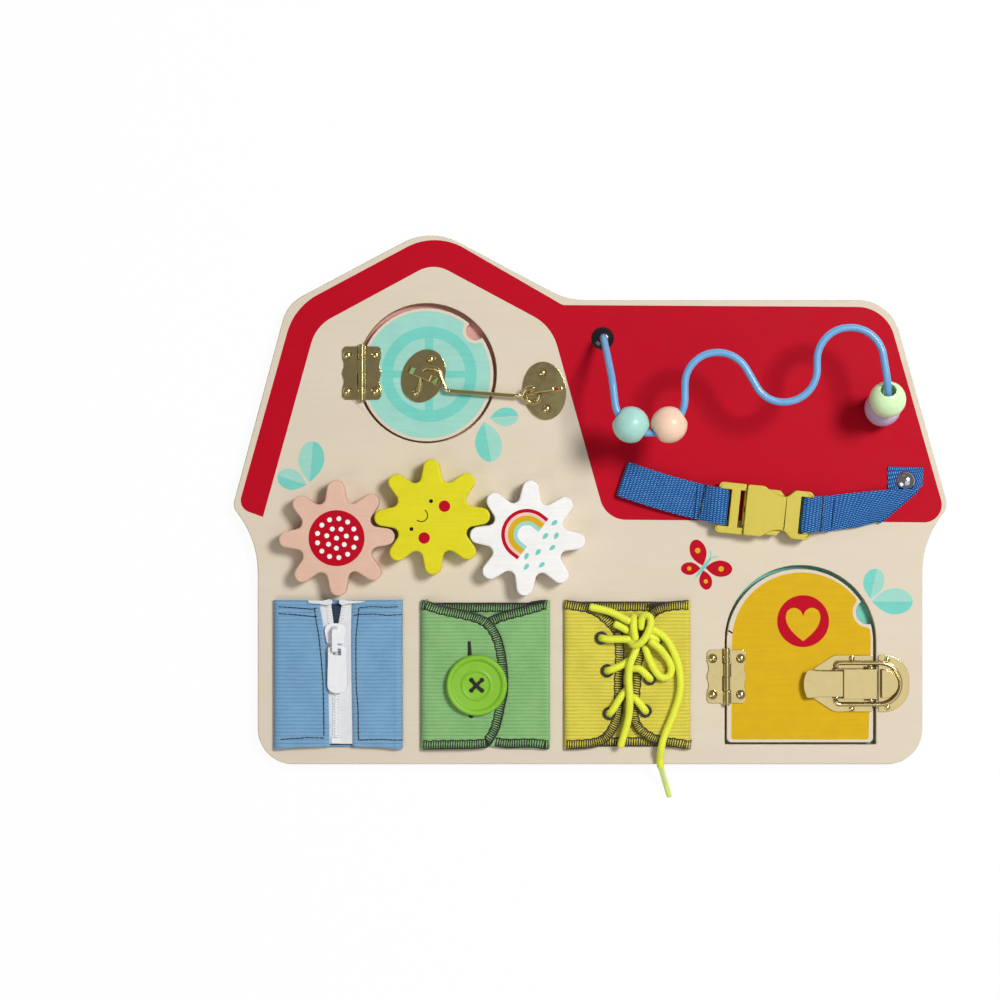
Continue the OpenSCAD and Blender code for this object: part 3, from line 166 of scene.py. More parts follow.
def rounded(corners: Sequence[Corner]) -> Outline:
    """Closed outline through corners with rounded tips.

    Args:
        corners: x, y and radius of each corner; a radius of nought keeps it sharp.

    Returns:
        The points of the outline.
    """
    points: Outline = []
    for i, (x, y, radius) in enumerate(corners):
        if radius <= 0:
            points.append((x, y))
            continue
        before, after = Vector(corners[i - 1][:2]), Vector(corners[(i + 1) % len(corners)][:2])
        mid, first, last = fillet(before, Vector((x, y)), after, radius)
        start = bearing(first)
        turn = bearing(last) - start
        turn -= 360 * round(turn / 360)
        points += arc((mid.x, mid.y), radius, start, start + turn, max(3, math.ceil(abs(turn) / 5)))
    return points


def leaf_side(tip: Point, end: Point, width: float, side: int, gap: float = 0.0) -> Outline:
    """One side of a leaf, from its pointed tip to its blunt end.

    Args:
        tip: the pointed end, at the stalk.
        end: the far end.
        width: greatest width of this side from the midrib.
        side: 1 for the left of the way from tip to end, -1 for the right.
        gap: distance that this side keeps from the midrib.

    Returns:
        The points from tip to end.
    """
    steps, widest = 24, 0.55
    along = Vector(end) - Vector(tip)
    across = Vector((-along.y, along.x)).normalized() * side
    points = []
    for i in range(steps + 1):
        t = 0.5 - 0.5 * math.cos(math.pi * i / steps)
        if t < widest:
            rise = math.sin(math.pi / 2 * (t / widest) ** 0.9)
        else:
            rise = math.sqrt(max(0.0, 1 - ((t - widest) / (1 - widest)) ** 2))
        points.append(tuple(Vector(tip) + along * t + across * (gap + (width - gap) * rise)))
    return points


def leaf(tip: Point, end: Point, width: float) -> Outline:
    """Closed outline of a whole leaf or drop, of equal width on both sides."""
    return leaf_side(tip, end, width, -1) + leaf_side(tip, end, width, 1)[-2:0:-1]


def half_leaf(tip: Point, end: Point, width: float, side: int) -> Outline:
    """Closed outline of one half of a leaf, beside its midrib."""
    gap, sliver = 0.02, 0.06
    rib = leaf_side(tip, end, gap + sliver, side, gap)[-2:0:-1]
    outline = leaf_side(tip, end, width, side, gap) + rib
    return outline if side < 0 else outline[::-1]


def drawn(points: Sequence[Point], step: float = 1.5) -> Outline:
    """Smooth line drawn through points."""
    return [(p.x, p.y) for p in smooth_route([(x, y, 0.0) for x, y in points], step)]


def band(centre: Point, radius: float, width: float, start: float, end: float, leg: float = 0.0) -> Outline:
    """Closed outline of a curved band, with straight legs after both of its ends.

    Args:
        centre: middle of the arc.
        radius: radius to the middle of the band.
        width: width of the band.
        start: first angle in degrees.
        end: last angle in degrees.
        leg: length of each leg.

    Returns:
        The closed outline.
    """
    steps = 36
    outer = arc(centre, radius + width / 2, start, end, steps)
    inner = arc(centre, radius - width / 2, end, start, steps)
    if not leg:
        return outer + inner
    down_first = Vector(turned((0, -leg), start))
    down_last = Vector(turned((0, leg), end))
    first = [tuple(Vector(p) + down_first) for p in (inner[-1], outer[0])]
    last = [tuple(Vector(p) + down_last) for p in (outer[-1], inner[0])]
    return first + outer + last + inner


def bitten(outline: Outline, notch: Point, radius: float) -> Outline:
    """An outline with a round bite taken out of its edge.

    Args:
        outline: closed anticlockwise outline.
        notch: centre of the bite.
        radius: radius of the bite.

    Returns:
        The outline without the bite.
    """
    centre = Vector(notch)
    keep = [(Vector(p) - centre).length > radius for p in outline]
    start = next(i for i in range(len(outline)) if keep[i] and not keep[i - 1])
    ring = outline[start:] + outline[:start]
    kept = [p for p in ring if (Vector(p) - centre).length > radius]
    a0, a1 = bearing(Vector(kept[-1]) - centre), bearing(Vector(kept[0]) - centre)
    while a1 > a0:
        a1 -= 360
    return kept + arc(notch, radius, a0, a1, 18)[1:-1]


def resampled(points: Sequence[Point], pitch: float) -> list[tuple[Vector, Vector]]:
    """Even stations along an open line.

    Args:
        points: the line.
        pitch: distance between stations.

    Returns:
        For each station its place and the direction of the line.
    """
    line = [Vector(p) for p in points]
    stations, carry = [], pitch / 2
    for a, b in zip(line, line[1:]):
        length = (b - a).length
        if length < 1e-9:
            continue
        while carry <= length:
            stations.append((a.lerp(b, carry / length), (b - a).normalized()))
            carry += pitch
        carry -= length
    return stations


# ---- routes in space


def smooth_route(points: Sequence[Sequence[float]], step: float = 0.8) -> Route:
    """A smooth curve through points, as a Catmull-Rom spline.

    Args:
        points: places that the curve passes through.
        step: wanted distance between the points of the result.

    Returns:
        Close points along the curve.
    """
    knots = [Vector(p) for p in points]
    knots = [2 * knots[0] - knots[1], *knots, 2 * knots[-1] - knots[-2]]
    route = [knots[1]]
    for p0, p1, p2, p3 in zip(knots, knots[1:], knots[2:], knots[3:]):
        t1 = math.sqrt(max(1e-6, (p1 - p0).length))
        t2 = t1 + math.sqrt(max(1e-6, (p2 - p1).length))
        t3 = t2 + math.sqrt(max(1e-6, (p3 - p2).length))
        count = max(2, round((p2 - p1).length / step))
        for i in range(1, count + 1):
            t = t1 + (t2 - t1) * i / count
            a1 = p0 * ((t1 - t) / t1) + p1 * (t / t1)
            a2 = p1 * ((t2 - t) / (t2 - t1)) + p2 * ((t - t1) / (t2 - t1))
            a3 = p2 * ((t3 - t) / (t3 - t2)) + p3 * ((t - t2) / (t3 - t2))
            b1 = a1 * ((t2 - t) / t2) + a2 * (t / t2)
            b2 = a2 * ((t3 - t) / (t3 - t1)) + a3 * ((t - t1) / (t3 - t1))
            route.append(b1 * ((t2 - t) / (t2 - t1)) + b2 * ((t - t1) / (t2 - t1)))
    return route


def bent_route(corners: Sequence[Sequence[float]]) -> Route:
    """A bent wire: straight runs joined by circular bends.

    Args:
        corners: x, y, z and bend radius of each corner.

    Returns:
        Points along the wire.
    """
    chord = 0.7
    points = [Vector(c[:3]) for c in corners]
    route = [points[0]]
    for i in range(1, len(corners) - 1):
        radius = corners[i][3]
        mid, first, last = fillet(points[i - 1], points[i], points[i + 1], radius)
        sweep = first.angle(last)
        steps = max(6, round(radius * sweep / chord))
        for k in range(steps + 1):
            t = k / steps
            way = first * math.sin((1 - t) * sweep) + last * math.sin(t * sweep)
            route.append(mid + way / math.sin(sweep))
    return [*route, points[-1]]


def route_length(route: Route) -> float:
    """Length of a route in millimetres."""
    return sum((b - a).length for a, b in zip(route, route[1:]))


# ---- finishes


def linear(colour: str) -> tuple[float, float, float, float]:
    """Linear colour of an sRGB hex value."""
    parts = [int(colour[i : i + 2], 16) / 255 for i in (1, 3, 5)]
    return (*(c / 12.92 if c <= 0.04045 else ((c + 0.055) / 1.055) ** 2.4 for c in parts), 1.0)


def feed(tree: Tree, node: bpy.types.Node, inputs: dict) -> None:
    """Set or link the inputs of a node.

    Args:
        tree: the node tree.
        node: the node.
        inputs: for each input socket a value, or an output socket to link from.
    """
    for key, value in inputs.items():
        if isinstance(value, Socket):
            tree.links.new(value, node.inputs[key])
        else:
            node.inputs[key].default_value = value


def add(tree: Tree, kind: str, inputs: dict | None = None, **settings: str) -> bpy.types.Node:
    """Add a node with its settings, values and links.

    Args:
        tree: the node tree.
        kind: the node's type name.
        inputs: for each input socket a value, or an output socket to link from.
        **settings: attributes of the node.

    Returns:
        The new node.
    """
    node = tree.nodes.new(kind)
    for name, value in settings.items():
        setattr(node, name, value)
    feed(tree, node, inputs or {})
    return node


class Space(Enum):
    """Coordinates that a pattern is drawn on."""

    OBJECT = "Object"
    UV = "UV"


def coords(tree: Tree, space: Space, sizes: Sequence[float], turn: float = 0.0) -> Socket:
    """Coordinates that count one for each repeat of a pattern.

    Args:
        tree: the node tree.
        space: object coordinates, in metres, or a UV map laid out in millimetres.
        sizes: size of the pattern along each axis, in millimetres.
        turn: turn of the pattern about Z, in degrees.

    Returns:
        The socket with the coordinates.
    """
    per_unit = 1 / MM if space is Space.OBJECT else 1.0
    source = add(tree, "ShaderNodeTexCoord").outputs[space.value]
    laid = add(tree, "ShaderNodeMapping", {"Vector": source, "Rotation": (0, 0, math.radians(turn))})
    scaled = {"Vector": laid.outputs["Vector"], "Scale": tuple(per_unit / s for s in sizes)}
    return add(tree, "ShaderNodeMapping", scaled).outputs["Vector"]


def noise(tree: Tree, space: Space, sizes: Sequence[float], detail: float = 2.0) -> Socket:
    """Cloudy pattern whose lumps have the given sizes, from 0 to 1."""
    inputs = {"Vector": coords(tree, space, sizes), "Scale": 1.0, "Detail": detail, "Roughness": 0.55}
    return add(tree, "ShaderNodeTexNoise", inputs).outputs["Fac"]


def ripple(
    tree: Tree, space: Space, pitch: float, axis: str, turn: float = 0.0, waver: float = 0.0
) -> Socket:
    """Even ripples from 0 to 1 with the given pitch along X or Y, which may waver slowly."""
    inputs = {
        "Vector": coords(tree, space, (pitch,) * 3, turn), "Scale": math.pi / 10, "Distortion": waver,
        "Detail": 1.0, "Detail Scale": 0.5,
    }  # fmt: skip
    return add(tree, "ShaderNodeTexWave", inputs, bands_direction=axis).outputs["Fac"]


def spread(
    tree: Tree, value: Socket, low: float, high: float, start: float = 0.25, end: float = 0.75
) -> Socket:
    """Stretch the middle of a 0 to 1 pattern over low to high."""
    inputs = {"Value": value, "From Min": start, "From Max": end, "To Min": low, "To Max": high}
    return add(tree, "ShaderNodeMapRange", inputs).outputs["Result"]


def blended(tree: Tree, amount: Socket, first: str | Socket, second: str | Socket) -> Socket:
    """Mix two colours, each a hex value or a socket."""
    first, second = (linear(c) if isinstance(c, str) else c for c in (first, second))
    return add(tree, "ShaderNodeMix", {0: amount, 6: first, 7: second}, data_type="RGBA").outputs[2]


def combined(tree: Tree, operation: str, *values: float | Socket) -> Socket:
    """Result of a Math node on values and sockets."""
    return add(tree, "ShaderNodeMath", dict(enumerate(values)), operation=operation).outputs[0]


def shaded(tree: Tree, colour: str, value: Socket) -> Socket:
    """Colour whose brightness is multiplied by a pattern near one."""
    return add(tree, "ShaderNodeHueSaturation", {"Color": linear(colour), "Value": value}).outputs[0]


def bump(tree: Tree, height: Socket, depth: float) -> Socket:
    """Normal that a height pattern of the given depth, in millimetres, gives."""
    return add(tree, "ShaderNodeBump", {"Height": height, "Distance": depth * MM}).outputs["Normal"]


@dataclass(frozen=True)
class Finish:
    """A surface finish: what the surface is and how it was made."""

    name: str
    colour: str
    roughness: float = 0.5

    def material(self) -> bpy.types.Material:
        """The Blender material of this finish, made on first use."""
        made = bpy.data.materials.get(self.name)
        if made is None:
            made = bpy.data.materials.new(self.name)
            made.use_nodes = True
            made.diffuse_color = linear(self.colour)
            tree = made.node_tree
            shader = tree.nodes["Principled BSDF"]
            feed(tree, shader, {"Roughness": self.roughness})
            feed(tree, shader, self.dress(tree))
        return made

    def dress(self, tree: Tree) -> dict:
        """Inputs of the shader, which give it colour and relief."""
        raise NotImplementedError


@dataclass(frozen=True)
class Plywood(Finish):
    """Sanded birch plywood: pale, with short fine fibres along X, and its plies at the cut edges."""

    dark: str = "#C9B48F"
    light_ply: str = "#D8C29C"
    dark_ply: str = "#A98A5E"
    ply: float = 1.35

    def dress(self, tree: Tree) -> dict:
        """Fibres 0.7 mm wide and 26 mm long over broad soft figure; edges show plies 1.35 mm thick."""
        figure = spread(tree, noise(tree, Space.OBJECT, (120, 16, 16), 3.0), 0.0, 0.15)
        fibres = noise(tree, Space.OBJECT, (26, 0.7, 0.7), 3.0)
        streaks = combined(tree, "ADD", figure, spread(tree, fibres, 0.0, 0.14))
        face = blended(tree, streaks, self.colour, self.dark)
        place = add(tree, "ShaderNodeTexCoord").outputs["Object"]
        height = add(tree, "ShaderNodeSeparateXYZ", {0: place}).outputs["Z"]
        layers = combined(tree, "PINGPONG", combined(tree, "DIVIDE", height, self.ply * MM), 1.0)
        edge = blended(tree, combined(tree, "GREATER_THAN", layers, 0.5), self.light_ply, self.dark_ply)
        normal = add(tree, "ShaderNodeNewGeometry").outputs["Normal"]
        upright = add(tree, "ShaderNodeSeparateXYZ", {0: normal}).outputs["Z"]
        flat = combined(tree, "GREATER_THAN", combined(tree, "ABSOLUTE", upright), 0.6)
        return {
            "Specular IOR Level": 0.12,
            "Base Color": blended(tree, flat, edge, face),
            "Normal": bump(tree, fibres, 0.05),
        }


@dataclass(frozen=True)
class Paint(Finish):
    """Satin paint rolled on sanded wood, through which the grain still shows as relief."""

    shade: float = 0.04
    relief: float = 0.03
    grain: float = 0.7
    gloss: float = 0.08

    def dress(self, tree: Tree) -> dict:
        """Uneven by a few per cent over 9 mm and along the grain, with the stipple of the roller."""
        cloud = noise(tree, Space.OBJECT, (9, 9, 9), 3.0)
        streaks = spread(tree, noise(tree, Space.OBJECT, (30, 1.4, 1.4)), -self.shade, self.shade)
        value = combined(tree, "ADD", spread(tree, cloud, 1 - self.shade, 1 + self.shade), streaks)
        fibres = noise(tree, Space.OBJECT, (18, self.grain, self.grain), 3.0)
        stipple = noise(tree, Space.OBJECT, (0.35, 0.35, 0.35), 1.0)
        height = combined(tree, "ADD", fibres, combined(tree, "MULTIPLY", stipple, 0.4))
        return {
            "Specular IOR Level": self.gloss,
            "Base Color": shaded(tree, self.colour, value),
            "Roughness": spread(tree, cloud, self.roughness - 0.05, self.roughness + 0.07),
            "Normal": bump(tree, height, self.relief),
        }


@dataclass(frozen=True)
class Plated(Finish):
    """Pressed sheet or drawn wire, plated and polished: faint rolling lines and finger marks."""

    line: float = 0.25
    wave: float = 0.03
    stain: str = "#B4955A"
    brushed: float = 0.0

    def dress(self, tree: Tree) -> dict:
        """A metal whose gloss varies over 5 mm, with lines 0.25 mm apart along Y where it is brushed."""
        marks = noise(tree, Space.OBJECT, (5, 5, 5), 4.0)
        lines = noise(tree, Space.OBJECT, (self.line, 14, self.line), 2.0)
        waves = noise(tree, Space.OBJECT, (9, 9, 9), 1.0)
        brushing = combined(tree, "MULTIPLY", lines, 0.004 + self.brushed)
        height = combined(tree, "ADD", brushing, combined(tree, "MULTIPLY", waves, self.wave))
        return {
            "Metallic": 1.0,
            "Base Color": blended(tree, spread(tree, marks, 0, 0.16), self.colour, self.stain),
            "Roughness": spread(tree, marks, self.roughness - 0.03, self.roughness + 0.07),
            "Normal": bump(tree, height, 1.0),
        }


@dataclass(frozen=True)
class Moulded(Finish):
    """Moulded plastic or baked enamel: even colour, with the fine grain of its mould."""

    grain: float = 0.5
    relief: float = 0.012
    coat: float = 0.0

    def dress(self, tree: Tree) -> dict:
        """A gloss that varies over 6 mm and a grain of half a millimetre."""
        cloud = noise(tree, Space.OBJECT, (6, 6, 6), 3.0)
        return {
            "Coat Weight": self.coat,
            "Coat Roughness": 0.08,
            "Base Color": shaded(tree, self.colour, spread(tree, cloud, 0.97, 1.03)),
            "Roughness": spread(tree, cloud, self.roughness - 0.04, self.roughness + 0.05),
            "Normal": bump(tree, noise(tree, Space.OBJECT, (self.grain,) * 3, 2.0), self.relief),
        }


@dataclass(frozen=True)
class RibbedCloth(Finish):
    """Woven cotton with raised cords across it: painted shade between the cords, with a soft nap."""

    # colour that the painted shade between the cords and the broad and fine blotches go towards
    dark: str = "#4F7CA4"
    pitch: float = 2.1
    yarn: float = 0.5

    def dress(self, tree: Tree) -> dict:
        """Cords 2.1 mm apart and yarns of half a millimetre, drawn on the cloth's own UV map, with painted
        shade between the cords.
        """
        cords = ripple(tree, Space.UV, self.pitch, "Y", waver=0.9)
        yarns = ripple(tree, Space.UV, self.yarn, "X")
        cloud = noise(tree, Space.UV, (7, 3, 7), 4.0)
        fleck = noise(tree, Space.UV, (1.6, 0.35, 1.0), 2.0)
        # painted shade in the grooves between the cords
        groove_shade = spread(tree, cords, 0.5, 0.0, 0.0, 0.5)
        broad = spread(tree, noise(tree, Space.UV, (16, 24, 16), 2.0), -0.12, 0.16)
        tint = combined(tree, "ADD", groove_shade, broad)
        for pattern in (spread(tree, cloud, -0.06, 0.16), spread(tree, fleck, -0.12, 0.18)):
            tint = combined(tree, "ADD", tint, pattern)
        height = combined(tree, "ADD", combined(tree, "MULTIPLY", yarns, 0.5), fleck)
        return {
            "Sheen Weight": 0.25,
            "Sheen Roughness": 0.5,
            "Base Color": blended(tree, tint, self.colour, self.dark),
            "Normal": bump(tree, height, 0.09),
        }


@dataclass(frozen=True)
class Webbing(Finish):
    """Woven polypropylene webbing: plump yarns in columns across the strap, in staggered rows."""

    # dark: painted shade in the ground between the picks; light: painted highlight on the picks
    dark: str = "#06306E"
    light: str = "#78C8FC"
    pitch: float = 1.013
    slant: float = 74.2

    def dress(self, tree: Tree) -> dict:
        """Picks 1.05 mm apart in staggered columns 1.9 mm apart along the strap, with a painted highlight on
        each pick and painted shade in the ground between them.
        """
        slants = [ripple(tree, Space.UV, self.pitch, "X", turn) for turn in (self.slant, -self.slant)]
        picks = combined(tree, "MULTIPLY", *slants)
        # painted shade in the ground between the picks
        ground = blended(tree, spread(tree, picks, 0, 1, 0.0, 0.25), self.dark, self.colour)
        # painted highlight on each pick, patchy over 5 mm
        patchy_shine = spread(tree, noise(tree, Space.UV, (5, 5, 5), 3.0), 0.7, 1.0)
        shine = combined(tree, "MULTIPLY", spread(tree, picks, 0, 1, 0.3, 0.7), patchy_shine)
        fray = noise(tree, Space.UV, (0.6, 0.2, 0.4), 2.0)
        height = combined(tree, "ADD", picks, combined(tree, "MULTIPLY", fray, 0.25))
        return {
            "Specular IOR Level": 0.2,
            "Base Color": blended(tree, shine, ground, self.light),
            "Normal": bump(tree, height, 0.3),
        }


@dataclass(frozen=True)
class Braid(Finish):
    """Round braided cord or twisted thread: yarns that cross at a slant."""

    # colour of the painted shade in the hollows between the yarns
    dark: str = "#B8CF1C"
    pitch: float = 1.3
    slant: float = 38.0
    relief: float = 0.16

    def dress(self, tree: Tree) -> dict:
        """Two sets of yarns that cross, 1.3 mm apart, on the cord's own UV map, with painted shade in the
        hollows between them.
        """
        yarns = [ripple(tree, Space.UV, self.pitch, "X", turn) for turn in (self.slant, -self.slant)]
        plaits = combined(tree, "MAXIMUM", *yarns)
        # painted shade in the hollows between the crossing yarns
        hollow_shade = spread(tree, plaits, 0.75, 0.0, 0.2, 0.85)
        return {
            "Sheen Weight": 0.2,
            "Base Color": blended(tree, hollow_shade, self.colour, self.dark),
            "Normal": bump(tree, plaits, self.relief),
        }


@dataclass(frozen=True)
class Tape(Finish):
    """Herringbone tape of a zip, white cotton with fine slanting yarns."""

    # colour of the painted shade between the slanting yarns
    dark: str = "#A9AFB8"

    def dress(self, tree: Tree) -> dict:
        """Slanting yarns 0.9 mm apart in object coordinates, with painted shade between them."""
        slant = ripple(tree, Space.OBJECT, 0.9, "X", 40)
        cloud = noise(tree, Space.OBJECT, (4, 4, 4), 3.0)
        # painted shade between the slanting yarns, plus blotches over 4 mm
        tint = combined(tree, "ADD", spread(tree, slant, 0.22, 0.0), spread(tree, cloud, -0.05, 0.12))
        return {
            "Sheen Weight": 0.2,
            "Base Color": blended(tree, tint, self.colour, self.dark),
            "Normal": bump(tree, slant, 0.1),
        }


WOOD = Plywood("sanded_birch_plywood", "#DFD3C0", 0.55)
REAR_WOOD = Plywood("sanded_birch_plywood_rear", "#DDCFB9", 0.6, dark="#C3AC85")
RED = Paint("printed_barn_red", "#BA0420", 0.55, shade=0.03)
TEAL = Paint("printed_pale_teal", "#9CD3C5", 0.55)
DEEP_TEAL = Paint("printed_deep_teal", "#76CCBE", 0.55)
PALE_PINK = Paint("printed_pale_pink", "#D9A39C", 0.5)
OCHRE = Paint("printed_ochre", "#D6AC18", 0.55)
BLACK_INK = Paint("printed_black", "#1A1714", 0.5)
WHITE_INK = Paint("printed_white", "#F2F0EC", 0.5)
RAINBOW_PINK = Paint("printed_blush", "#EFC4BC", 0.5)
GEAR_PINK = Paint("rolled_pink_paint", "#E0B8A2", 0.45, gloss=0.2)
GEAR_YELLOW = Paint("rolled_yellow_paint", "#DED41C", 0.42, gloss=0.2)
GEAR_WHITE = Paint("rolled_white_paint", "#F2F0ED", 0.45, gloss=0.2)
BRASS = Plated("polished_brass_plate", "#DDCB92", 0.12, wave=0.02)
BRUSHED_BRASS = Plated("brushed_brass_plate", "#DDCB92", 0.15, wave=0.012, brushed=0.008)
CHROME = Plated("polished_chrome_plate", "#C9CBCE", 0.1, stain="#9A9CA0")
ZINC = Plated("bright_zinc_plate", "#B9BCC0", 0.35, stain="#8E9094")
LACQUER = Moulded("black_lacquer", "#0E0E10", 0.2, coat=0.5)
WIRE_COAT = Moulded("dipped_blue_vinyl", "#6AA6D8", 0.3, coat=0.2)
BUCKLE = Moulded("moulded_mustard_acetal", "#CCBA38", 0.45)
BUTTON = Moulded("moulded_green_nylon", "#82BE26", 0.45)
ZIP_WHITE = Moulded("moulded_white_zip", "#EDEDEF", 0.4)
AGLET = Moulded("shrunk_film_tip", "#D9E87A", 0.25, coat=0.4)
BLUE_CLOTH = RibbedCloth("blue_ribbed_cotton", "#7CA9CB", 0.85)
GREEN_CLOTH = RibbedCloth("green_ribbed_cotton", "#8CBD79", 0.85, dark="#5C9250", pitch=2.0)
YELLOW_CLOTH = RibbedCloth("yellow_ribbed_cotton", "#E0D34A", 0.85, dark="#AC9C2A", pitch=2.0)
# dark navy cloth that paints the shade on the back cloth between the zip tapes
ZIP_SHADE_CLOTH = RibbedCloth("painted_shade_cotton", "#2A3550", 0.9, dark="#161D33")
STRAP = Webbing("woven_blue_webbing", "#0F58AE", 0.6)
LACE = Braid("braided_neon_lace", "#EDF238", 0.6, dark="#CFD824", relief=0.11)
THREAD = Braid("twisted_black_thread", "#17150F", 0.7, dark="#050505", pitch=0.4, relief=0.05)
BROWN_THREAD = Braid("twisted_dark_brown_thread", "#2B2213", 0.7, dark="#151008", pitch=0.4, relief=0.05)
ZIP_TAPE = Tape("white_zip_tape", "#E9EAEC", 0.85)

BEADS = {"teal": "#ABDACF", "peach": "#F8D3B8", "green": "#DAF8C0", "lilac": "#C9B4D2"}
BY_SLOT = {
    "wood_front": WOOD,
    "wood_back": REAR_WOOD,
    "wood_ochre": WOOD,
    "brass": BRASS,
    "steel": ZINC,
    "chrome": CHROME,
    "paint_pink": GEAR_PINK,
    "paint_yellow": GEAR_YELLOW,
    "paint_white": GEAR_WHITE,
    "wire_blue": WIRE_COAT,
    "black_plastic": LACQUER,
    **{
        f"bead_{name}": Paint(f"dipped_{name}_paint", colour, 0.28, grain=3.0, gloss=0.35)
        for name, colour in BEADS.items()
    },
    "webbing": STRAP,
    "buckle_plastic": BUCKLE,
    "blue_cloth": BLUE_CLOTH,
    "zip_white": ZIP_WHITE,
    "zip_tape": ZIP_TAPE,
    "green_cloth": GREEN_CLOTH,
    "button_green": BUTTON,
    "thread_black": THREAD,
    "yellow_cloth": YELLOW_CLOTH,
    "eyelet_black": LACQUER,
    "lace_neon": LACE,
    "tip_clear": AGLET,
}


# ---- making pieces


def select_only(*pieces: Piece) -> None:
    """Select these objects and no other; the first becomes active."""
    if bpy.context.object and bpy.context.object.mode != "OBJECT":
        bpy.ops.object.mode_set(mode="OBJECT")
    bpy.ops.object.select_all(action="DESELECT")
    for piece in pieces:
        piece.select_set(True)
    if pieces:
        bpy.context.view_layer.objects.active = pieces[0]


def named(piece: Piece, name: str) -> Piece:
    """Name an object and its mesh."""
    piece.name = name
    piece.data.name = name
    return piece


def placed(name: str, data: bpy.types.ID) -> Piece:
    """A new object of the scene, with its data."""
    piece = bpy.data.objects.new(name, data)
    bpy.context.scene.collection.objects.link(piece)
    return piece


def closed_up(piece: Piece) -> Piece:
    """Turn all faces of a closed piece outwards."""
    select_only(piece)
    bpy.ops.object.mode_set(mode="EDIT")
    bpy.ops.mesh.select_all(action="SELECT")
    bpy.ops.mesh.normals_make_consistent(inside=False)
    bpy.ops.object.mode_set(mode="OBJECT")
    return piece


def applied(piece: Piece, name: str, kind: str, **settings: object) -> None:
    """Put a modifier with its settings on the selected piece, and apply it."""
    modifier = piece.modifiers.new(name, kind)
    for key, value in settings.items():
        setattr(modifier, key, value)
    bpy.ops.object.modifier_apply(modifier=name)


def softened(piece: Piece, width: float, segments: int = 2, angle: float = 30.0) -> Piece:
    """Round the sharp edges of a piece and shade it smooth.

    Args:
        piece: the piece to finish.
        width: width of the rounding in millimetres; nought leaves the edges sharp.
        segments: steps across the rounding.
        angle: least angle of an edge that is rounded, in degrees.

    Returns:
        The same piece.
    """
    select_only(piece)
    if width > 0:
        applied(
            piece, "rounding", "BEVEL", width=width * MM, segments=segments, limit_method="ANGLE",
            angle_limit=math.radians(angle), use_clamp_overlap=False,
        )  # fmt: skip
    bpy.ops.object.shade_smooth_by_angle(angle=math.radians(38))
    applied(piece, "flat_faces", "WEIGHTED_NORMAL", keep_sharp=True)
    return piece


def raised(piece: Piece, height: float) -> Piece:
    """Extrude a flat piece upwards into a closed plate."""
    bpy.ops.mesh.select_all(action="SELECT")
    bpy.ops.mesh.extrude_region_move(TRANSFORM_OT_translate={"value": (0, 0, height * MM)})
    return closed_up(piece)


def plate(name: str, outline: Sequence[Point], low: float, high: float) -> Piece:
    """Cut a flat plate to an outline.

    Args:
        name: name of the piece.
        outline: closed outline.
        low: height of its lower face.
        high: height of its upper face.

    Returns:
        The plate.
    """
    select_only()
    bpy.ops.mesh.primitive_circle_add(vertices=len(outline), radius=MM, fill_type="NGON", location=(0, 0, 0))
    piece = named(bpy.context.object, name)
    for vertex, (x, y) in zip(piece.data.vertices, outline):
        vertex.co = (x * MM, y * MM, low * MM)
    bpy.ops.object.mode_set(mode="EDIT")
    return raised(piece, high - low)


def washer(name: str, centre: Point, outer: float, inner: float, low: float, high: float) -> Piece:
    """Cut a flat ring.

    Args:
        name: name of the piece.
        centre: its middle.
        outer: outer radius.
        inner: inner radius.
        low: height of its lower face.
        high: height of its upper face.

    Returns:
        The ring.
    """
    select_only()
    middle = (centre[0] * MM, centre[1] * MM, low * MM)
    bpy.ops.mesh.primitive_circle_add(vertices=72, radius=outer * MM, fill_type="NOTHING", location=middle)
    piece = named(bpy.context.object, name)
    bpy.ops.object.transform_apply(location=True, rotation=False, scale=False)
    bpy.ops.object.mode_set(mode="EDIT")
    bpy.ops.mesh.select_all(action="SELECT")
    bpy.ops.mesh.extrude_region_move()
    bpy.ops.transform.resize(value=(inner / outer, inner / outer, 1), center_override=middle)
    return raised(piece, high - low)


def copies(piece: Piece, places: Sequence[Matrix]) -> list[Piece]:
    """Copy a piece to several places, each copy with its own mesh, and remove the first.

    Args:
        piece: what is copied.
        places: for each copy the matrix that its mesh is moved by.

    Returns:
        The copies.
    """
    made = []
    for place in places:
        made.append(placed(piece.name, piece.data.copy()))
        made[-1].data.transform(place)
    bpy.data.objects.remove(piece)
    return made


def joined(name: str, pieces: Sequence[Piece]) -> Piece:
    """Join pieces of one finish into one object."""
    select_only(*pieces)
    if len(pieces) > 1:
        bpy.ops.object.join()
    return named(bpy.context.object, name)


def moved(x: float, y: float, turn: float = 0.0) -> Matrix:
    """Matrix that turns about Z and then moves, in millimetres and degrees."""
    return Matrix.Translation(Vector((x, y, 0)) * MM) @ Matrix.Rotation(math.radians(turn), 4, "Z")


def mesh_piece(
    name: str, points: Sequence[Vector], faces: Sequence[Sequence[int]], laid: Sequence[Sequence[Point]]
) -> Piece:
    """An object from its vertices and faces, with a UV map.

    Args:
        name: name of the piece.
        points: places of the vertices, in millimetres.
        faces: vertices of each face.
        laid: for each face the places of its corners on the UV map, in millimetres.

    Returns:
        The piece.
    """
    mesh = bpy.data.meshes.new(name)
    mesh.from_pydata([tuple(Vector(p) * MM) for p in points], [], faces)
    mesh.uv_layers.new(name="UVMap").data.foreach_set("uv", [c for face in laid for uv in face for c in uv])
    return placed(name, mesh)


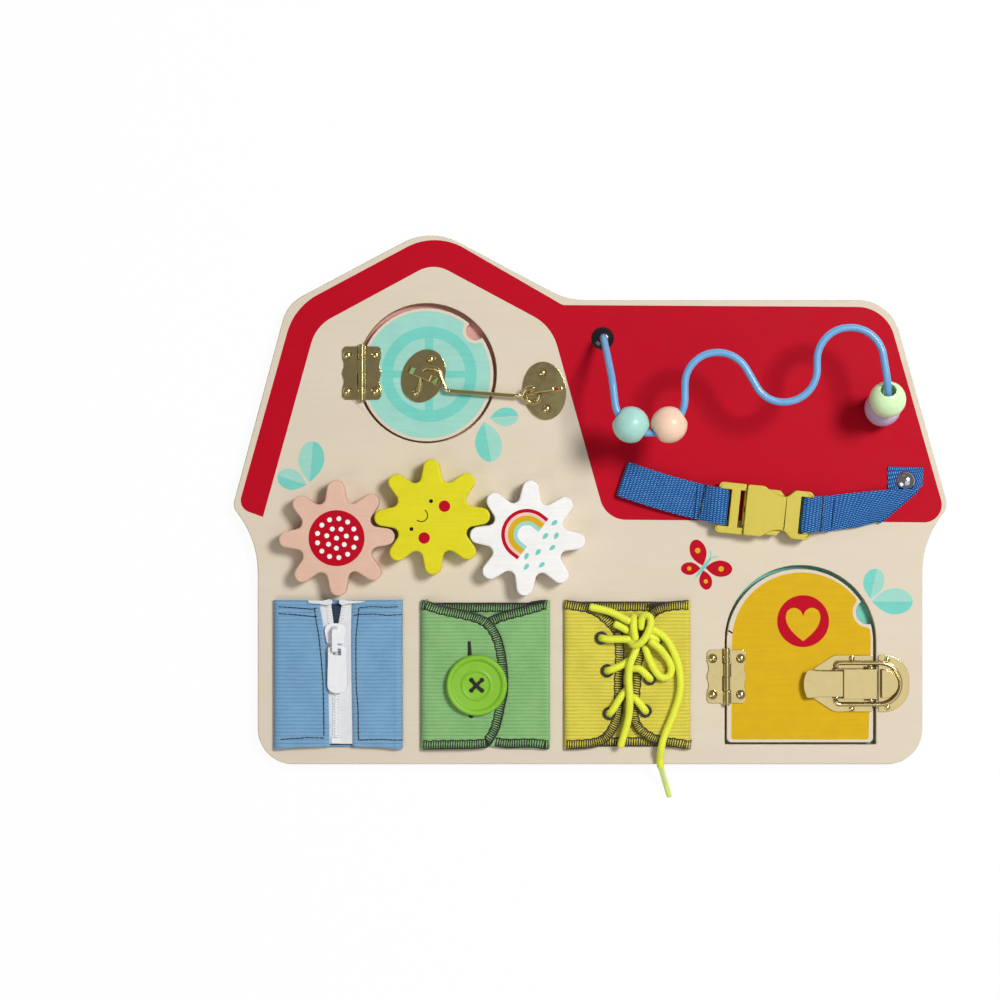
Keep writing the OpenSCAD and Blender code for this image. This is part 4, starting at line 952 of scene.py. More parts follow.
@dataclass
class Tubes:
    """Round cords and threads along routes, gathered in one mesh with a UV map in millimetres."""

    sides: int = 14
    points: list[Vector] = field(default_factory=list)
    faces: list[list[int]] = field(default_factory=list)
    laid: list[list[Point]] = field(default_factory=list)

    def run(
        self, route: Route, radius: float, tips: bool = True, swell: Callable[[float], float] | None = None
    ) -> None:
        """Add one tube.

        Args:
            route: points along its middle.
            radius: its radius.
            tips: whether its ends are rounded, and not cut flat.
            swell: radius factor by the share of the length.
        """
        rings: list[tuple[Vector, float]] = [(p, 1.0) for p in route]
        if tips:
            first = (route[0] - route[1]).normalized() * radius
            last = (route[-1] - route[-2]).normalized() * radius
            rings = [(route[0] + first * 0.62, 0.5), (route[0] + first * 0.36, 0.86), *rings]
            rings += [(route[-1] + last * 0.36, 0.86), (route[-1] + last * 0.62, 0.5)]
        total = max(1e-6, route_length([p for p, _ in rings]))
        base, side, gone = len(self.points), None, 0.0
        lengths = []
        for i, (place, factor) in enumerate(rings):
            along = (rings[min(i + 1, len(rings) - 1)][0] - rings[max(i - 1, 0)][0]).normalized()
            if side is None:
                side = along.orthogonal().normalized()
            side = (side - along * side.dot(along)).normalized()
            up = along.cross(side)
            if i:
                gone += (place - rings[i - 1][0]).length
            lengths.append(gone)
            r = radius * factor * (swell(gone / total) if swell else 1.0)
            for k in range(self.sides):
                a = 2 * math.pi * k / self.sides
                self.points.append(place + (side * math.cos(a) + up * math.sin(a)) * r)
        round_mm = 2 * math.pi * radius / self.sides
        for i in range(len(rings) - 1):
            v0, v1 = lengths[i], lengths[i + 1]
            for k in range(self.sides):
                a, b = base + i * self.sides + k, base + i * self.sides + (k + 1) % self.sides
                self.faces.append([a, b, b + self.sides, a + self.sides])
                u0, u1 = k * round_mm, (k + 1) * round_mm
                self.laid.append([(u0, v0), (u1, v0), (u1, v1), (u0, v1)])
        last_ring = base + (len(rings) - 1) * self.sides
        for start, order in ((base, range(self.sides - 1, -1, -1)), (last_ring, range(self.sides))):
            self.faces.append([start + k for k in order])
            self.laid.append([(0.0, 0.0)] * self.sides)

    def piece(self, name: str) -> Piece:
        """The mesh object of all tubes so far."""
        made = mesh_piece(name, self.points, self.faces, self.laid)
        made.data.shade_smooth()
        return made


def sheet_grid(
    name: str, columns: int, rows: int, place: Callable[[int, float], Sequence[float]], thickness: float
) -> Piece:
    """A sheet of cloth from a grid, with thickness below it and a UV map in millimetres.

    Args:
        name: name of the piece.
        columns: number of cells across.
        rows: number of cells along.
        place: gives x, y, z, u and v of a vertex from its column and its share along, in millimetres.
        thickness: thickness of the cloth in millimetres.

    Returns:
        The sheet.
    """
    select_only()
    bpy.ops.mesh.primitive_grid_add(x_subdivisions=columns, y_subdivisions=rows, size=1.0, location=(0, 0, 0))
    piece = named(bpy.context.object, name)
    laid: list[Point] = []
    for vertex in piece.data.vertices:
        x, y, z, u, v = place(round((vertex.co.x + 0.5) * columns), vertex.co.y + 0.5)
        vertex.co = Vector((x, y, z)) * MM
        laid.append((u, v))
    layer = piece.data.uv_layers.active
    for loop in piece.data.loops:
        layer.data[loop.index].uv = laid[loop.vertex_index]
    select_only(piece)
    applied(piece, "thickness", "SOLIDIFY", thickness=thickness * MM, offset=-1.0)
    bpy.ops.object.shade_smooth_by_angle(angle=math.radians(50))
    return piece


@dataclass(frozen=True)
class Ground:
    """A face that carries prints: its height, its body and its material slot."""

    top: float
    body: str
    slot: str


FRONT_FACE = Ground(FACE, "board", "wood_front")
REAR_FACE = Ground(BACK, "board", "wood_back")
ROUND_DOOR_FACE = Ground(FACE, "window_door", "wood_front")
BARN_DOOR_FACE = Ground(FACE, "arch_door", "wood_ochre")
GEAR_COLOURS = ("pink", "yellow", "white")
PINK_FACE, YELLOW_FACE, WHITE_FACE = (Ground(GEAR_TOP, f"gear_{c}", f"paint_{c}") for c in GEAR_COLOURS)


class Kit:
    """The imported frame, and the ways in which a piece joins it."""

    def __init__(self, frame: dict) -> None:
        """Read which body and which material slot each CAD node has."""
        self.nodes: dict[str, Piece] = frame["nodes"]
        bodies = frame["record"]["behaviour"]["bodies"]
        self.body = {node: body for body, nodes in bodies.items() for node in nodes}
        self.slot = {part["node"]: part["material_slot"] for part in frame["record"]["subparts"]}

    def seat(self, piece: Piece, body: str, finish: Finish, slot: str, nodes: Sequence[str] = ()) -> Piece:
        """Dress a new piece and let it ride on its body.

        Args:
            piece: the new piece.
            body: the CAD body that it moves with.
            finish: its finish.
            slot: the record's material slot; not used.
            nodes: CAD nodes that it stands for.

        Returns:
            The same piece.
        """
        piece.data.materials.clear()
        piece.data.materials.append(finish.material())
        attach(piece, body)
        if nodes:
            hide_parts(*nodes)
        log.info("%s rides on %s, %d faces", piece.name, body, len(piece.data.polygons))
        return piece

    def refined(
        self, node: str, width: float = 0.3, finish: Finish | None = None, segments: int = 2,
        angle: float = 30.0, thicker: float = 0.0, corners: Sequence[Point] = (), flatten: bool = True,
    ) -> Piece:  # fmt: skip
        """Replace a CAD node by a merged copy whose edges are rounded.

        Args:
            node: the CAD node.
            width: width of the rounding in millimetres.
            finish: its finish, or None for that of its slot.
            segments: steps across the rounding.
            angle: least angle of an edge that is rounded.
            thicker: how far the whole surface is moved outwards, in millimetres.
            corners: places of upright edges that are rounded first.
            flatten: whether the triangles of flat faces are joined.

        Returns:
            The new piece.
        """
        piece = placed(f"{node}_shaped", self.nodes[node].data.copy())
        select_only(piece)
        bpy.ops.object.mode_set(mode="EDIT")
        bpy.ops.mesh.select_all(action="SELECT")
        bpy.ops.mesh.remove_doubles(threshold=2e-6)
        if flatten:
            bpy.ops.mesh.dissolve_limited(angle_limit=math.radians(0.4))
        if thicker:
            bpy.ops.transform.shrink_fatten(value=thicker * MM)
        bpy.ops.object.mode_set(mode="OBJECT")
        self.round_upright(piece, corners)
        softened(piece, width, segments, angle)
        slot = self.slot[node]
        return self.seat(piece, self.body[node], finish or BY_SLOT[slot], slot, [node])

    @staticmethod
    def round_upright(piece: Piece, corners: Sequence[Point], radius: float = 2.8) -> None:
        """Round the upright edges of a piece at the given places.

        Args:
            piece: the piece.
            corners: places of the edges, found within half a millimetre.
            radius: radius of the rounding in millimetres.
        """
        if not corners:
            return
        mesh = piece.data
        bpy.ops.object.mode_set(mode="EDIT")
        bpy.ops.mesh.select_all(action="DESELECT")
        bpy.ops.object.mode_set(mode="OBJECT")
        for edge in mesh.edges:
            a, b = (mesh.vertices[v].co / MM for v in edge.vertices)
            upright = (a.xy - b.xy).length < 0.01 and abs(a.z - b.z) > 0.5
            edge.select = upright and any((a.xy - Vector(corner)).length < 0.5 for corner in corners)
        bpy.ops.object.mode_set(mode="EDIT")
        bpy.ops.mesh.select_mode(type="EDGE")
        bpy.ops.mesh.bevel(offset=radius * MM, segments=6, affect="EDGES")
        bpy.ops.object.mode_set(mode="OBJECT")

    def kept(self, *names: str) -> None:
        """Give CAD nodes that stay the finish of their slots."""
        for node in names:
            mesh = self.nodes[node].data
            mesh.materials.clear()
            mesh.materials.append(BY_SLOT[self.slot[node]].material())
            log.info("%s keeps its CAD shape", node)

    def printed(self, piece: Piece, finish: Finish, ground: Ground) -> None:
        """Seat a print on the face that carries it."""
        self.seat(piece, ground.body, finish, ground.slot)

    def film(self, name: str, outline: Outline, finish: Finish, ground: Ground, layer: int = 0) -> None:
        """Print a closed outline on a face as a film.

        Args:
            name: name of the piece.
            outline: closed outline.
            finish: the print's finish.
            ground: the face that it lies on.
            layer: how many prints lie under it.
        """
        sheet = plate(name, outline, ground.top - FILM, ground.top + FILM * (layer + 1))
        self.printed(sheet, finish, ground)


# ---- studio


@dataclass
class Studio:
    """White floor, soft daylight from the upper right, and a camera straight above."""

    camera_at: Corner = (-50.68, -0.06, 1260.0)
    lens: float = 80.0
    light_way: Corner = (0.53, 0.33, 1.0)
    light_distance: float = 2.2
    light_size: float = 0.6
    light_power: float = 37.0
    sky: float = 0.2
    glow: float = 0.95
    boxes: tuple = (
        ("overhead_box", "RECTANGLE", (0.9, -0.75, 2.0), (0.0, 0.0, 1.0), (1.7, 1.7), 6.8),
        ("fill_box", "RECTANGLE", (-1.2, -1.2, 1.6), (-1.2, -1.2, 1.6), (1.2, 1.2), 8.0),
    )

    def camera(self) -> None:
        """Hang the camera over the board."""
        data = bpy.data.cameras.new("camera")
        data.lens, data.sensor_width = self.lens, 36.0
        data.clip_start, data.clip_end = 0.05, 20.0
        camera = placed("camera", data)
        camera.location = Vector(self.camera_at) * MM
        bpy.context.scene.camera = camera

    @staticmethod
    def lamp(
        name: str, shape: str, place: Sequence[float], back: Sequence[float], size: Point, power: float
    ) -> None:
        """Hang an area lamp.

        Args:
            name: name of the lamp.
            shape: its shape.
            place: its place, in metres.
            back: the way that its back faces.
            size: its width and height, in metres.
            power: its power in watts.
        """
        data = bpy.data.lights.new(name, "AREA")
        data.shape, data.energy = shape, power
        data.size, data.size_y = size
        lamp = placed(name, data)
        lamp.location = place
        lamp.rotation_euler = Vector(back).to_track_quat("Z", "Y").to_euler()

    def build(self) -> None:
        """Set the floor, the lamps, the sky and the view."""
        scene = bpy.context.scene
        scene.view_settings.view_transform = "Standard"
        self.floor()
        way = Vector(self.light_way).normalized()
        size = (self.light_size, self.light_size)
        self.lamp("daylight", "DISK", way * self.light_distance, way, size, self.light_power)
        for box in self.boxes:
            self.lamp(*box)
        world = bpy.data.worlds.new("sky")
        scene.world = world
        world.use_nodes = True
        tree = world.node_tree
        tree.nodes.clear()
        seen = add(tree, "ShaderNodeLightPath").outputs["Is Camera Ray"]
        dim, white = (
            add(tree, "ShaderNodeBackground", {"Color": linear("#FFFFFF"), "Strength": power})
            for power in (self.sky, 1.0)
        )
        mix = add(tree, "ShaderNodeMixShader", {0: seen, 1: dim.outputs[0], 2: white.outputs[0]})
        add(tree, "ShaderNodeOutputWorld", {"Surface": mix.outputs[0]})

    def floor(self) -> None:
        """Lay a white floor that keeps the shadow and looks white to the camera and in reflections."""
        select_only()
        bpy.ops.mesh.primitive_plane_add(size=8.0, location=(0, 0, 0))
        floor = named(bpy.context.object, "floor")
        material = bpy.data.materials.new("white_paper_floor")
        material.use_nodes = True
        tree = material.node_tree
        tree.nodes.clear()
        path = add(tree, "ShaderNodeLightPath")
        seen = path.outputs["Is Camera Ray"]
        for ray in ("Is Glossy Ray", "Is Transmission Ray"):
            seen = combined(tree, "MAXIMUM", seen, path.outputs[ray])
        share = combined(tree, "MULTIPLY", seen, self.glow)
        paper = add(tree, "ShaderNodeBsdfDiffuse", {"Color": linear("#FAFAFA")})
        light = add(tree, "ShaderNodeEmission", {"Color": linear("#FFFFFF"), "Strength": 1.0})
        mix = add(tree, "ShaderNodeMixShader", {0: share, 1: paper.outputs[0], 2: light.outputs[0]})
        add(tree, "ShaderNodeOutputMaterial", {"Surface": mix.outputs[0]})
        floor.data.materials.append(material)


# ---- shoelace


def emerging(eye: Point, degrees: float) -> list[Corner]:
    """Places where a lace comes up out of an eyelet and turns to lie along a direction."""
    lift = ((0.0, -1.2), (0.2, 0.9), (1.3, 2.1), (3.1, 2.5))
    return [(*turned((out, 0), degrees, eye), EYELET_TOP + up) for out, up in lift]


@dataclass
class Shoelace:
    """Round shoelace: six strands out of the eyelets, a half bow, and one long end with its tip."""

    long_end: tuple = (
        (32.5, -71.3, 16.6), (40.5, -76, 16.6), (46.5, -85, 16.4), (50, -97, 16.3), (49.8, -108.5, 16.3),
        (46, -120.5, 16.3), (41, -133, 16.2), (39.4, -140, 16), (39.1, -145, 13.2), (39.5, -149.6, 12.5),
    )  # fmt: skip
    tip: tuple = (
        (39.5, -149.6, 12.5), (40.6, -153, 10), (41.6, -156.3, 6.6), (43, -160.5, 3.2), (45, -167, 2.4),
    )  # fmt: skip
    short_end: tuple = (
        (26, -79.5, 16.6), (25.2, -84, 17.6), (22, -91.5, 19.4), (21.2, -99, 19), (21.8, -111, 19.2),
        (21, -122.5, 17), (16.9, -137.5, 16.2),
    )  # fmt: skip
    bow: tuple = (
        (30.6, -82.5, 16.5), (32.8, -89, 16.6), (36.2, -95.7, 17), (39.8, -99.3, 16.8), (43.4, -99, 16.4),
        (45.2, -95.2, 16.4), (44, -90.5, 16.6), (41.5, -86.7, 17.6), (37.6, -82.2, 20.4), (33.6, -79, 21),
    )  # fmt: skip
    tails: tuple = (
        ((21.3, -67.8, 17.6), (11.8, -63, 16.4), (0.4, -60, 16.2)),
        ((20.6, -73, 16.3), (14, -69.6, 16.2)),
    )
    knot: tuple = (
        (
            (22.6, -79.6, 17.6), (24.5, -81.2, 19.8), (28.3, -79.3, 21.2), (31.3, -75, 21.4),
            (33.1, -70.5, 21.2), (33.4, -66.9, 20.6), (32.7, -65.2, 20), (31, -64.5, 19.3),
            (29.3, -65.2, 18.6), (28.6, -67, 18), (28.4, -71.5, 16.8),
        ),
        ((24.1, -65.5, 16), (23.9, -68.5, 18.6), (24, -73, 19.4), (25, -77.5, 18.4)),
    )  # fmt: skip
    strands: tuple = (
        ((6.2, -77.4), -9, ((21.5, -78, 17.4),)),
        ((9.5, -95.8), 22, ((18, -92.2, 16.4), (22.6, -89.2, 15.4))),
        ((10.6, -119.7), 52, ((17.8, -109, 16.4), (22, -104.7, 15.4))),
        ((37.1, -78.5), 152, ((31, -75.3, 17),)),
        ((33.4, -100.2), 134, ((27, -94.4, 16.4), (23.6, -94.6, 15.4))),
        ((30.8, -118.3), 127, ((25.2, -111.4, 16.4), (22.2, -109.8, 15.4))),
    )

    def declare(self, piece: Piece, route: Route, end: str, pieces: Sequence = ()) -> None:
        """Measure the length of a piece's route and throw the result away."""
        route_length(route) * MM
        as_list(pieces)  # fmt: skip

    def build(self, kit: Kit) -> None:
        """Lay every length of the lace."""
        tube = Tubes(sides=20)
        tube.run(smooth_route(self.tip), LACE_R, swell=lambda t: 0.78 + 0.2 * max(0.0, 1 - 6 * t))
        tip = kit.seat(tube.piece("lace_tip_film"), "board", AGLET, "tip_clear", ["lace_tip"])
        for name, knots, nodes, end, pieces in (
            ("lace_long_end", self.long_end, ["lace_long"], "bare", [tip]),
            ("lace_short_end", self.short_end, ["lace_ends"], "bare", ()),
            ("lace_bow", self.bow, [], "object", ()),
        ):
            route = smooth_route(knots)
            self.declare(self.length(kit, name, [route], nodes), route, end, pieces)
        crossings = [smooth_route(emerging(eye, way) + list(rest)) for eye, way, rest in self.strands]
        self.length(kit, "lace_tails", [smooth_route(knots) for knots in self.tails], [])
        self.length(kit, "lace_knot_turns", [smooth_route(knots) for knots in self.knot], ["lace_knot"])
        self.length(kit, "lace_crossings", crossings, ["lace_strands"])

    @staticmethod
    def length(kit: Kit, name: str, routes: Sequence[Route], nodes: Sequence[str]) -> Piece:
        """Braid one piece of lace along its routes and seat it on the board."""
        tube = Tubes()
        for route in routes:
            tube.run(route, LACE_R)
        return kit.seat(tube.piece(name), "board", LACE, "lace_neon", nodes)


# ---- board and doors


@dataclass
class BarnBoard:
    """The cut-out front panel and the plain rear panel, with the barn printed on them."""

    window: Point = (-91.9, 71.3)
    window_r: float = 39.3
    arch: Box = (75.8, 160.8, -137.5, -36.8)
    roof: tuple = (
        (-184.0, -9.6, 0), (-154.2, 97.7, 22.9), (-88.1, 133.4, 17.5), (-21.7, 97.8, 27), (8.9, -11.1, 15),
        (201.1, -12.8, 10), (166.4, 108.5, 21.5), (-15.4, 109.6, 6), (-86.9, 150.9, 33),
        (-166.4, 108.4, 34.5), (-198.0, -4.6, 7),
    )  # fmt: skip
    leaves: tuple = (
        ((-56.4, 46.1), (-40.5, 47.2), 5.3, 5.3, 1),
        ((-59.5, 43.8), (-55.4, 21.6), 7.6, 7.4, -1),
        ((-157.8, 10.1), (-156.0, 33.0), 7.3, 7.3, -1),
        ((-159.7, 8.5), (-175.6, 14.0), 5.9, 5.9, 1),
        ((157.7, -55.5), (161.6, -38.8), 6.2, 5.6, 1),
        ((158.7, -57.0), (181.5, -57.0), 7.4, 7.4, -1),
    )
    butterfly: Point = (63.5, -38.3)
    butterfly_turn: float = -38.0
    wings: tuple = (
        ((1, 1), (13.5, 9.5), 4.6),
        ((-1, 1), (-13.5, 9.5), 4.6),
        ((1, -1), (9.5, -8), 3.6),
        ((-1, -1), (-9.5, -8), 3.6),
    )

    def build(self, kit: Kit) -> None:
        """Shape both panels and print them."""
        left, right, low, high = self.arch
        kit.refined("front_board", 0.7, segments=3, corners=[(left, low), (right, low)])
        kit.refined("back_board", 0.7, segments=3)
        kit.kept("board_screws")
        kit.film("roof_print", rounded(self.roof), RED, FRONT_FACE)
        kit.film("window_backing", circle(self.window, self.window_r + 1), PALE_PINK, REAR_FACE)
        half = (right - left) / 2 + 1
        mid = (left + right) / 2
        crown = arc((mid, high + 1 - half), half, 0, 180, 48)
        kit.film("arch_backing", [(mid - half, low - 1), (mid + half, low - 1), *crown], DEEP_TEAL, REAR_FACE)
        for i, (tip, end, left_w, right_w, dark) in enumerate(self.leaves, 1):
            for side, width in ((1, left_w), (-1, right_w)):
                tone, finish = ("dark", DEEP_TEAL) if side == dark else ("light", TEAL)
                kit.film(f"leaf_{i}_{tone}", half_leaf(tip, end, width, side), finish, FRONT_FACE)
        self.print_butterfly(kit)

    def print_butterfly(self, kit: Kit) -> None:
        """Print a plain butterfly: four round wings, a slim body and two feelers."""
        at, turn = self.butterfly, self.butterfly_turn
        for i, (root, far, width) in enumerate(self.wings, 1):
            wing = leaf(turned(root, turn, at), turned(far, turn, at), width)
            kit.film(f"butterfly_wing_{i}", wing, RED, FRONT_FACE)
            spot = turned((far[0] * 0.62, far[1] * 0.62), turn, at)
            kit.film(f"butterfly_spot_{i}", circle(spot, width * 0.33, 24), OCHRE, FRONT_FACE, 1)
        body = leaf(turned((0, -7.5), turn, at), turned((0, 6.5), turn, at), 1.1)
        kit.film("butterfly_body", body, DEEP_TEAL, FRONT_FACE, 1)
        for i, side, start, end in ((1, -1, 65, 0), (3, 1, 180, 115)):
            feeler = band(turned((side * 4.6, 6.0), turn, at), 4.4, 0.6, start + turn, end + turn)
            kit.film(f"butterfly_feeler_{i}", feeler, DEEP_TEAL, FRONT_FACE, 1)


@dataclass
class RoundDoor:
    """Round window door with a teal pane printed on it."""

    centre: Point = (-91.9, 70.4)
    pane_r: float = 35.8
    notch: Point = (-64.58, 95.05)
    notch_r: float = 5.0
    ring_centre: Point = (-90.6, 70.7)
    ring_outer: float = 26.8
    ring_inner: float = 20.5
    bar_reach: float = 20.9
    upright_w: float = 4.5
    crossbar_w: float = 3.8

    def build(self, kit: Kit) -> None:
        """Shape the door and print its pane."""
        kit.refined("window_door", 0.6, segments=3)
        pane = bitten(circle(self.centre, self.pane_r, 144), self.notch, self.notch_r + 2.0)
        kit.film("pane_print", pane, TEAL, ROUND_DOOR_FACE)
        x, y = self.ring_centre
        ring = washer("pane_ring_print", (x, y), self.ring_outer, self.ring_inner, FACE, FACE + 2 * FILM)
        kit.printed(ring, DEEP_TEAL, ROUND_DOOR_FACE)
        for name, dx, dy in (
            ("pane_upright_print", self.upright_w / 2, self.bar_reach),
            ("pane_crossbar_print", self.bar_reach, self.crossbar_w / 2),
        ):
            outline = [(x - dx, y - dy), (x + dx, y - dy), (x + dx, y + dy), (x - dx, y + dy)]
            kit.film(name, outline, DEEP_TEAL, ROUND_DOOR_FACE, 2)


@dataclass
class BarnDoor:
    """Arched door with an ochre print and a heart in a red disc."""

    left: float = 79.9
    right: float = 157.9
    foot_left: float = 79.4
    foot_right: float = 156.7
    low: float = -134.8
    high: float = -40.8
    crown_h: float = 38.3
    notch: Point = (156.5, -63.0)
    notch_r: float = 6.8
    heart: Point = (119.8, -68.2)
    disc_r: float = 14.6
    heart_half: tuple = (
        (0, -79.5), (4.8, -75.4), (8.4, -70.8), (9.7, -66.2), (8.6, -62.4), (5.0, -60.7), (1.7, -62.2),
        (0, -65.2),
    )  # fmt: skip
    door_corners: tuple = ((76.8, -136.5), (159.3, -136.5))

    def build(self, kit: Kit) -> None:
        """Shape the door and print it."""
        kit.refined("arch_door", 0.6, segments=3, corners=self.door_corners)
        ground = bitten(self.outline(), self.notch, self.notch_r + 2)
        kit.film("barn_door_print", ground, OCHRE, BARN_DOOR_FACE)
        kit.film("heart_disc_print", circle(self.heart, self.disc_r), RED, BARN_DOOR_FACE, 1)
        kit.film("heart_print", self.heart_outline(), OCHRE, BARN_DOOR_FACE, 2)

    def outline(self) -> Outline:
        """Outline of the ochre print: a straight foot under an oval crown."""
        half, mid = (self.right - self.left) / 2, (self.left + self.right) / 2
        spring, foot_w = self.high - self.crown_h, self.foot_right - self.foot_left
        crown = []
        for i in range(97):
            a = math.pi * i / 96
            crown.append((mid + half * math.cos(a), spring + self.crown_h * math.sin(a), 0))
        foot = [(self.foot_left + foot_w * i / 12, self.low, 0 if 0 < i < 12 else 1.5) for i in range(13)]
        return rounded(foot + crown)

    def heart_outline(self) -> Outline:
        """Outline of the heart, anticlockwise from its point."""
        half = drawn(self.heart_half, 0.5)
        x = self.heart[0]
        return [(x + dx, y) for dx, y in half] + [(x - dx, y) for dx, y in half[-2:0:-1]]


# ---- metal fittings


@dataclass
class Fittings:
    """Pressed brass hinges, hook latch and toggle latch."""

    wire_growth: float = 0.25

    def build(self, kit: Kit) -> None:
        """Shape every metal fitting."""
        for hinge in ("window_hinge", "arch_hinge"):
            for part in ("frame_leaf", "door_leaf"):
                kit.refined(f"{hinge}_{part}", 0.22, BRUSHED_BRASS, angle=40)
        kit.kept("hinge_pins", "latch_lever_pin")
        for node in ("frame_rivets", "window_door_rivets", "arch_door_rivets"):
            kit.refined(node, 0.0)
        for node in ("eye_plate", "staple_plate", "latch_base", "catch_plate"):
            kit.refined(node, 0.25, BRASS, angle=40)
        kit.refined("latch_lever", 0.3, angle=40)
        for node in ("latch_loop", "hook"):
            kit.refined(node, 0.0, thicker=self.wire_growth)


# ---- gears


@dataclass
class Gears:
    """Three toothed wheels with a dotted disc, a smiling sun and a rainbow."""

    pink: Point = (-141.71, -21.3)
    yellow: Point = (-88.5, -9.5)
    white: Point = (-35.29, -21.3)
    dot_rings: tuple = ((7, 5.6, 12), (13, 10.9, 0))
    eyes: tuple = ((-0.6, 8.8), (-11.5, -6.7))
    cheeks: tuple = ((6.9, 6.0), (-4.4, -11.7))
    bands: tuple = ((14.3, 12.3, RED), (12.3, 10.6, RAINBOW_PINK), (10.6, 7.5, OCHRE), (7.5, 5.2, TEAL))
    drops: tuple = (
        (14.8, 8.5), (9.8, 1.1), (15.9, 1.2), (13.6, -5.4), (5.7, -7.9), (-0.7, -10.2), (7.8, -14.9),
        (-0.8, -16.0),
    )  # fmt: skip

    def build(self, kit: Kit) -> None:
        """Shape the wheels and print them."""
        for colour in GEAR_COLOURS:
            kit.refined(f"gear_{colour}", 1.1, segments=4)
            kit.kept(f"axle_{colour}", f"axle_screw_{colour}")
        self.dotted_disc(kit)
        self.sun_face(kit)
        self.rainbow(kit)

    def dotted_disc(self, kit: Kit) -> None:
        """Red disc with rings of white dots."""
        kit.film("dotted_disc_print", circle(self.pink, 15.6), RED, PINK_FACE)
        spots = [self.pink]
        for count, radius, start in self.dot_rings:
            spots += [turned((radius, 0), start + 360 * i / count, self.pink) for i in range(count)]
        dot = plate("dot", circle((0, 0), 1.35, 20), GEAR_TOP, GEAR_TOP + 2 * FILM)
        dots = joined("disc_dots_print", copies(dot, [moved(x, y) for x, y in spots]))
        kit.printed(dots, WHITE_INK, PINK_FACE)

    def sun_face(self, kit: Kit) -> None:
        """Two eyes, two cheeks and a smile."""
        x, y = self.yellow
        for name, places, radius, sides, finish in (
            ("eye_print", self.eyes, 1.1, 24, BLACK_INK),
            ("cheek_print", self.cheeks, 3.2, 40, RED),
        ):
            for i, (dx, dy) in enumerate(places, 1):
                kit.film(f"{name}_{i}", circle((x + dx, y + dy), radius, sides), finish, YELLOW_FACE)
        kit.film("smile_print", band((x - 6.0, y + 0.9), 3.5, 0.55, -131, 57), BLACK_INK, YELLOW_FACE)

    def rainbow(self, kit: Kit) -> None:
        """Rainbow of four bands with rain beside it."""
        x, y = self.white
        centre, way = (x - 0.4, y + 2.0), 142.3
        for i, (outer, inner, finish) in enumerate(self.bands, 1):
            outline = band(centre, (outer + inner) / 2, outer - inner, way - 90, way + 90, 4.2)
            kit.film(f"rainbow_print_{i}", outline, finish, WHITE_FACE)
        drop = plate("drop", leaf((-2.1, 0), (2.1, 0), 1.15), GEAR_TOP, GEAR_TOP + FILM)
        places = [moved(x + dx, y + dy, 40 + 12 * (i % 3)) for i, (dx, dy) in enumerate(self.drops)]
        kit.printed(joined("rain_print", copies(drop, places)), DEEP_TEAL, WHITE_FACE)


# ---- bead track


@dataclass
class BeadTrack:
    """Blue coated wire over the roof with four beads, in two black domes."""

    corners: tuple = (
        (7, 90.8, 0.8, 0), (7, 90.8, 21, 9), (10.4, 66, 50, 14), (13.884, 36.5, 50, 19), (50, 36.5, 50, 19),
        (50, 80.2, 50, 17.4), (78.4, 80.2, 50, 18), (93.9, 53.3, 50, 16.5), (122, 53.3, 50, 18),
        (122, 93.8, 50, 17.8), (155.6, 93.8, 50, 18), (162.6, 51, 50, 19), (162.6, 51, 0.8, 0),
    )  # fmt: skip
    wire_r: float = 2.0

    def build(self, kit: Kit) -> None:
        """Bend the wire and thread the beads."""
        wire = Tubes(sides=24)
        wire.run(bent_route(self.corners), self.wire_r, tips=False)
        kit.seat(wire.piece("coated_wire"), "board", WIRE_COAT, "wire_blue", ["wire_track"])
        kit.refined("track_grommets", 0.15, angle=50)
        kit.kept("track_nuts")
        for colour in BEADS:
            kit.refined(f"bead_{colour}", 0.5, segments=3, angle=40)


# ---- strap and buckle


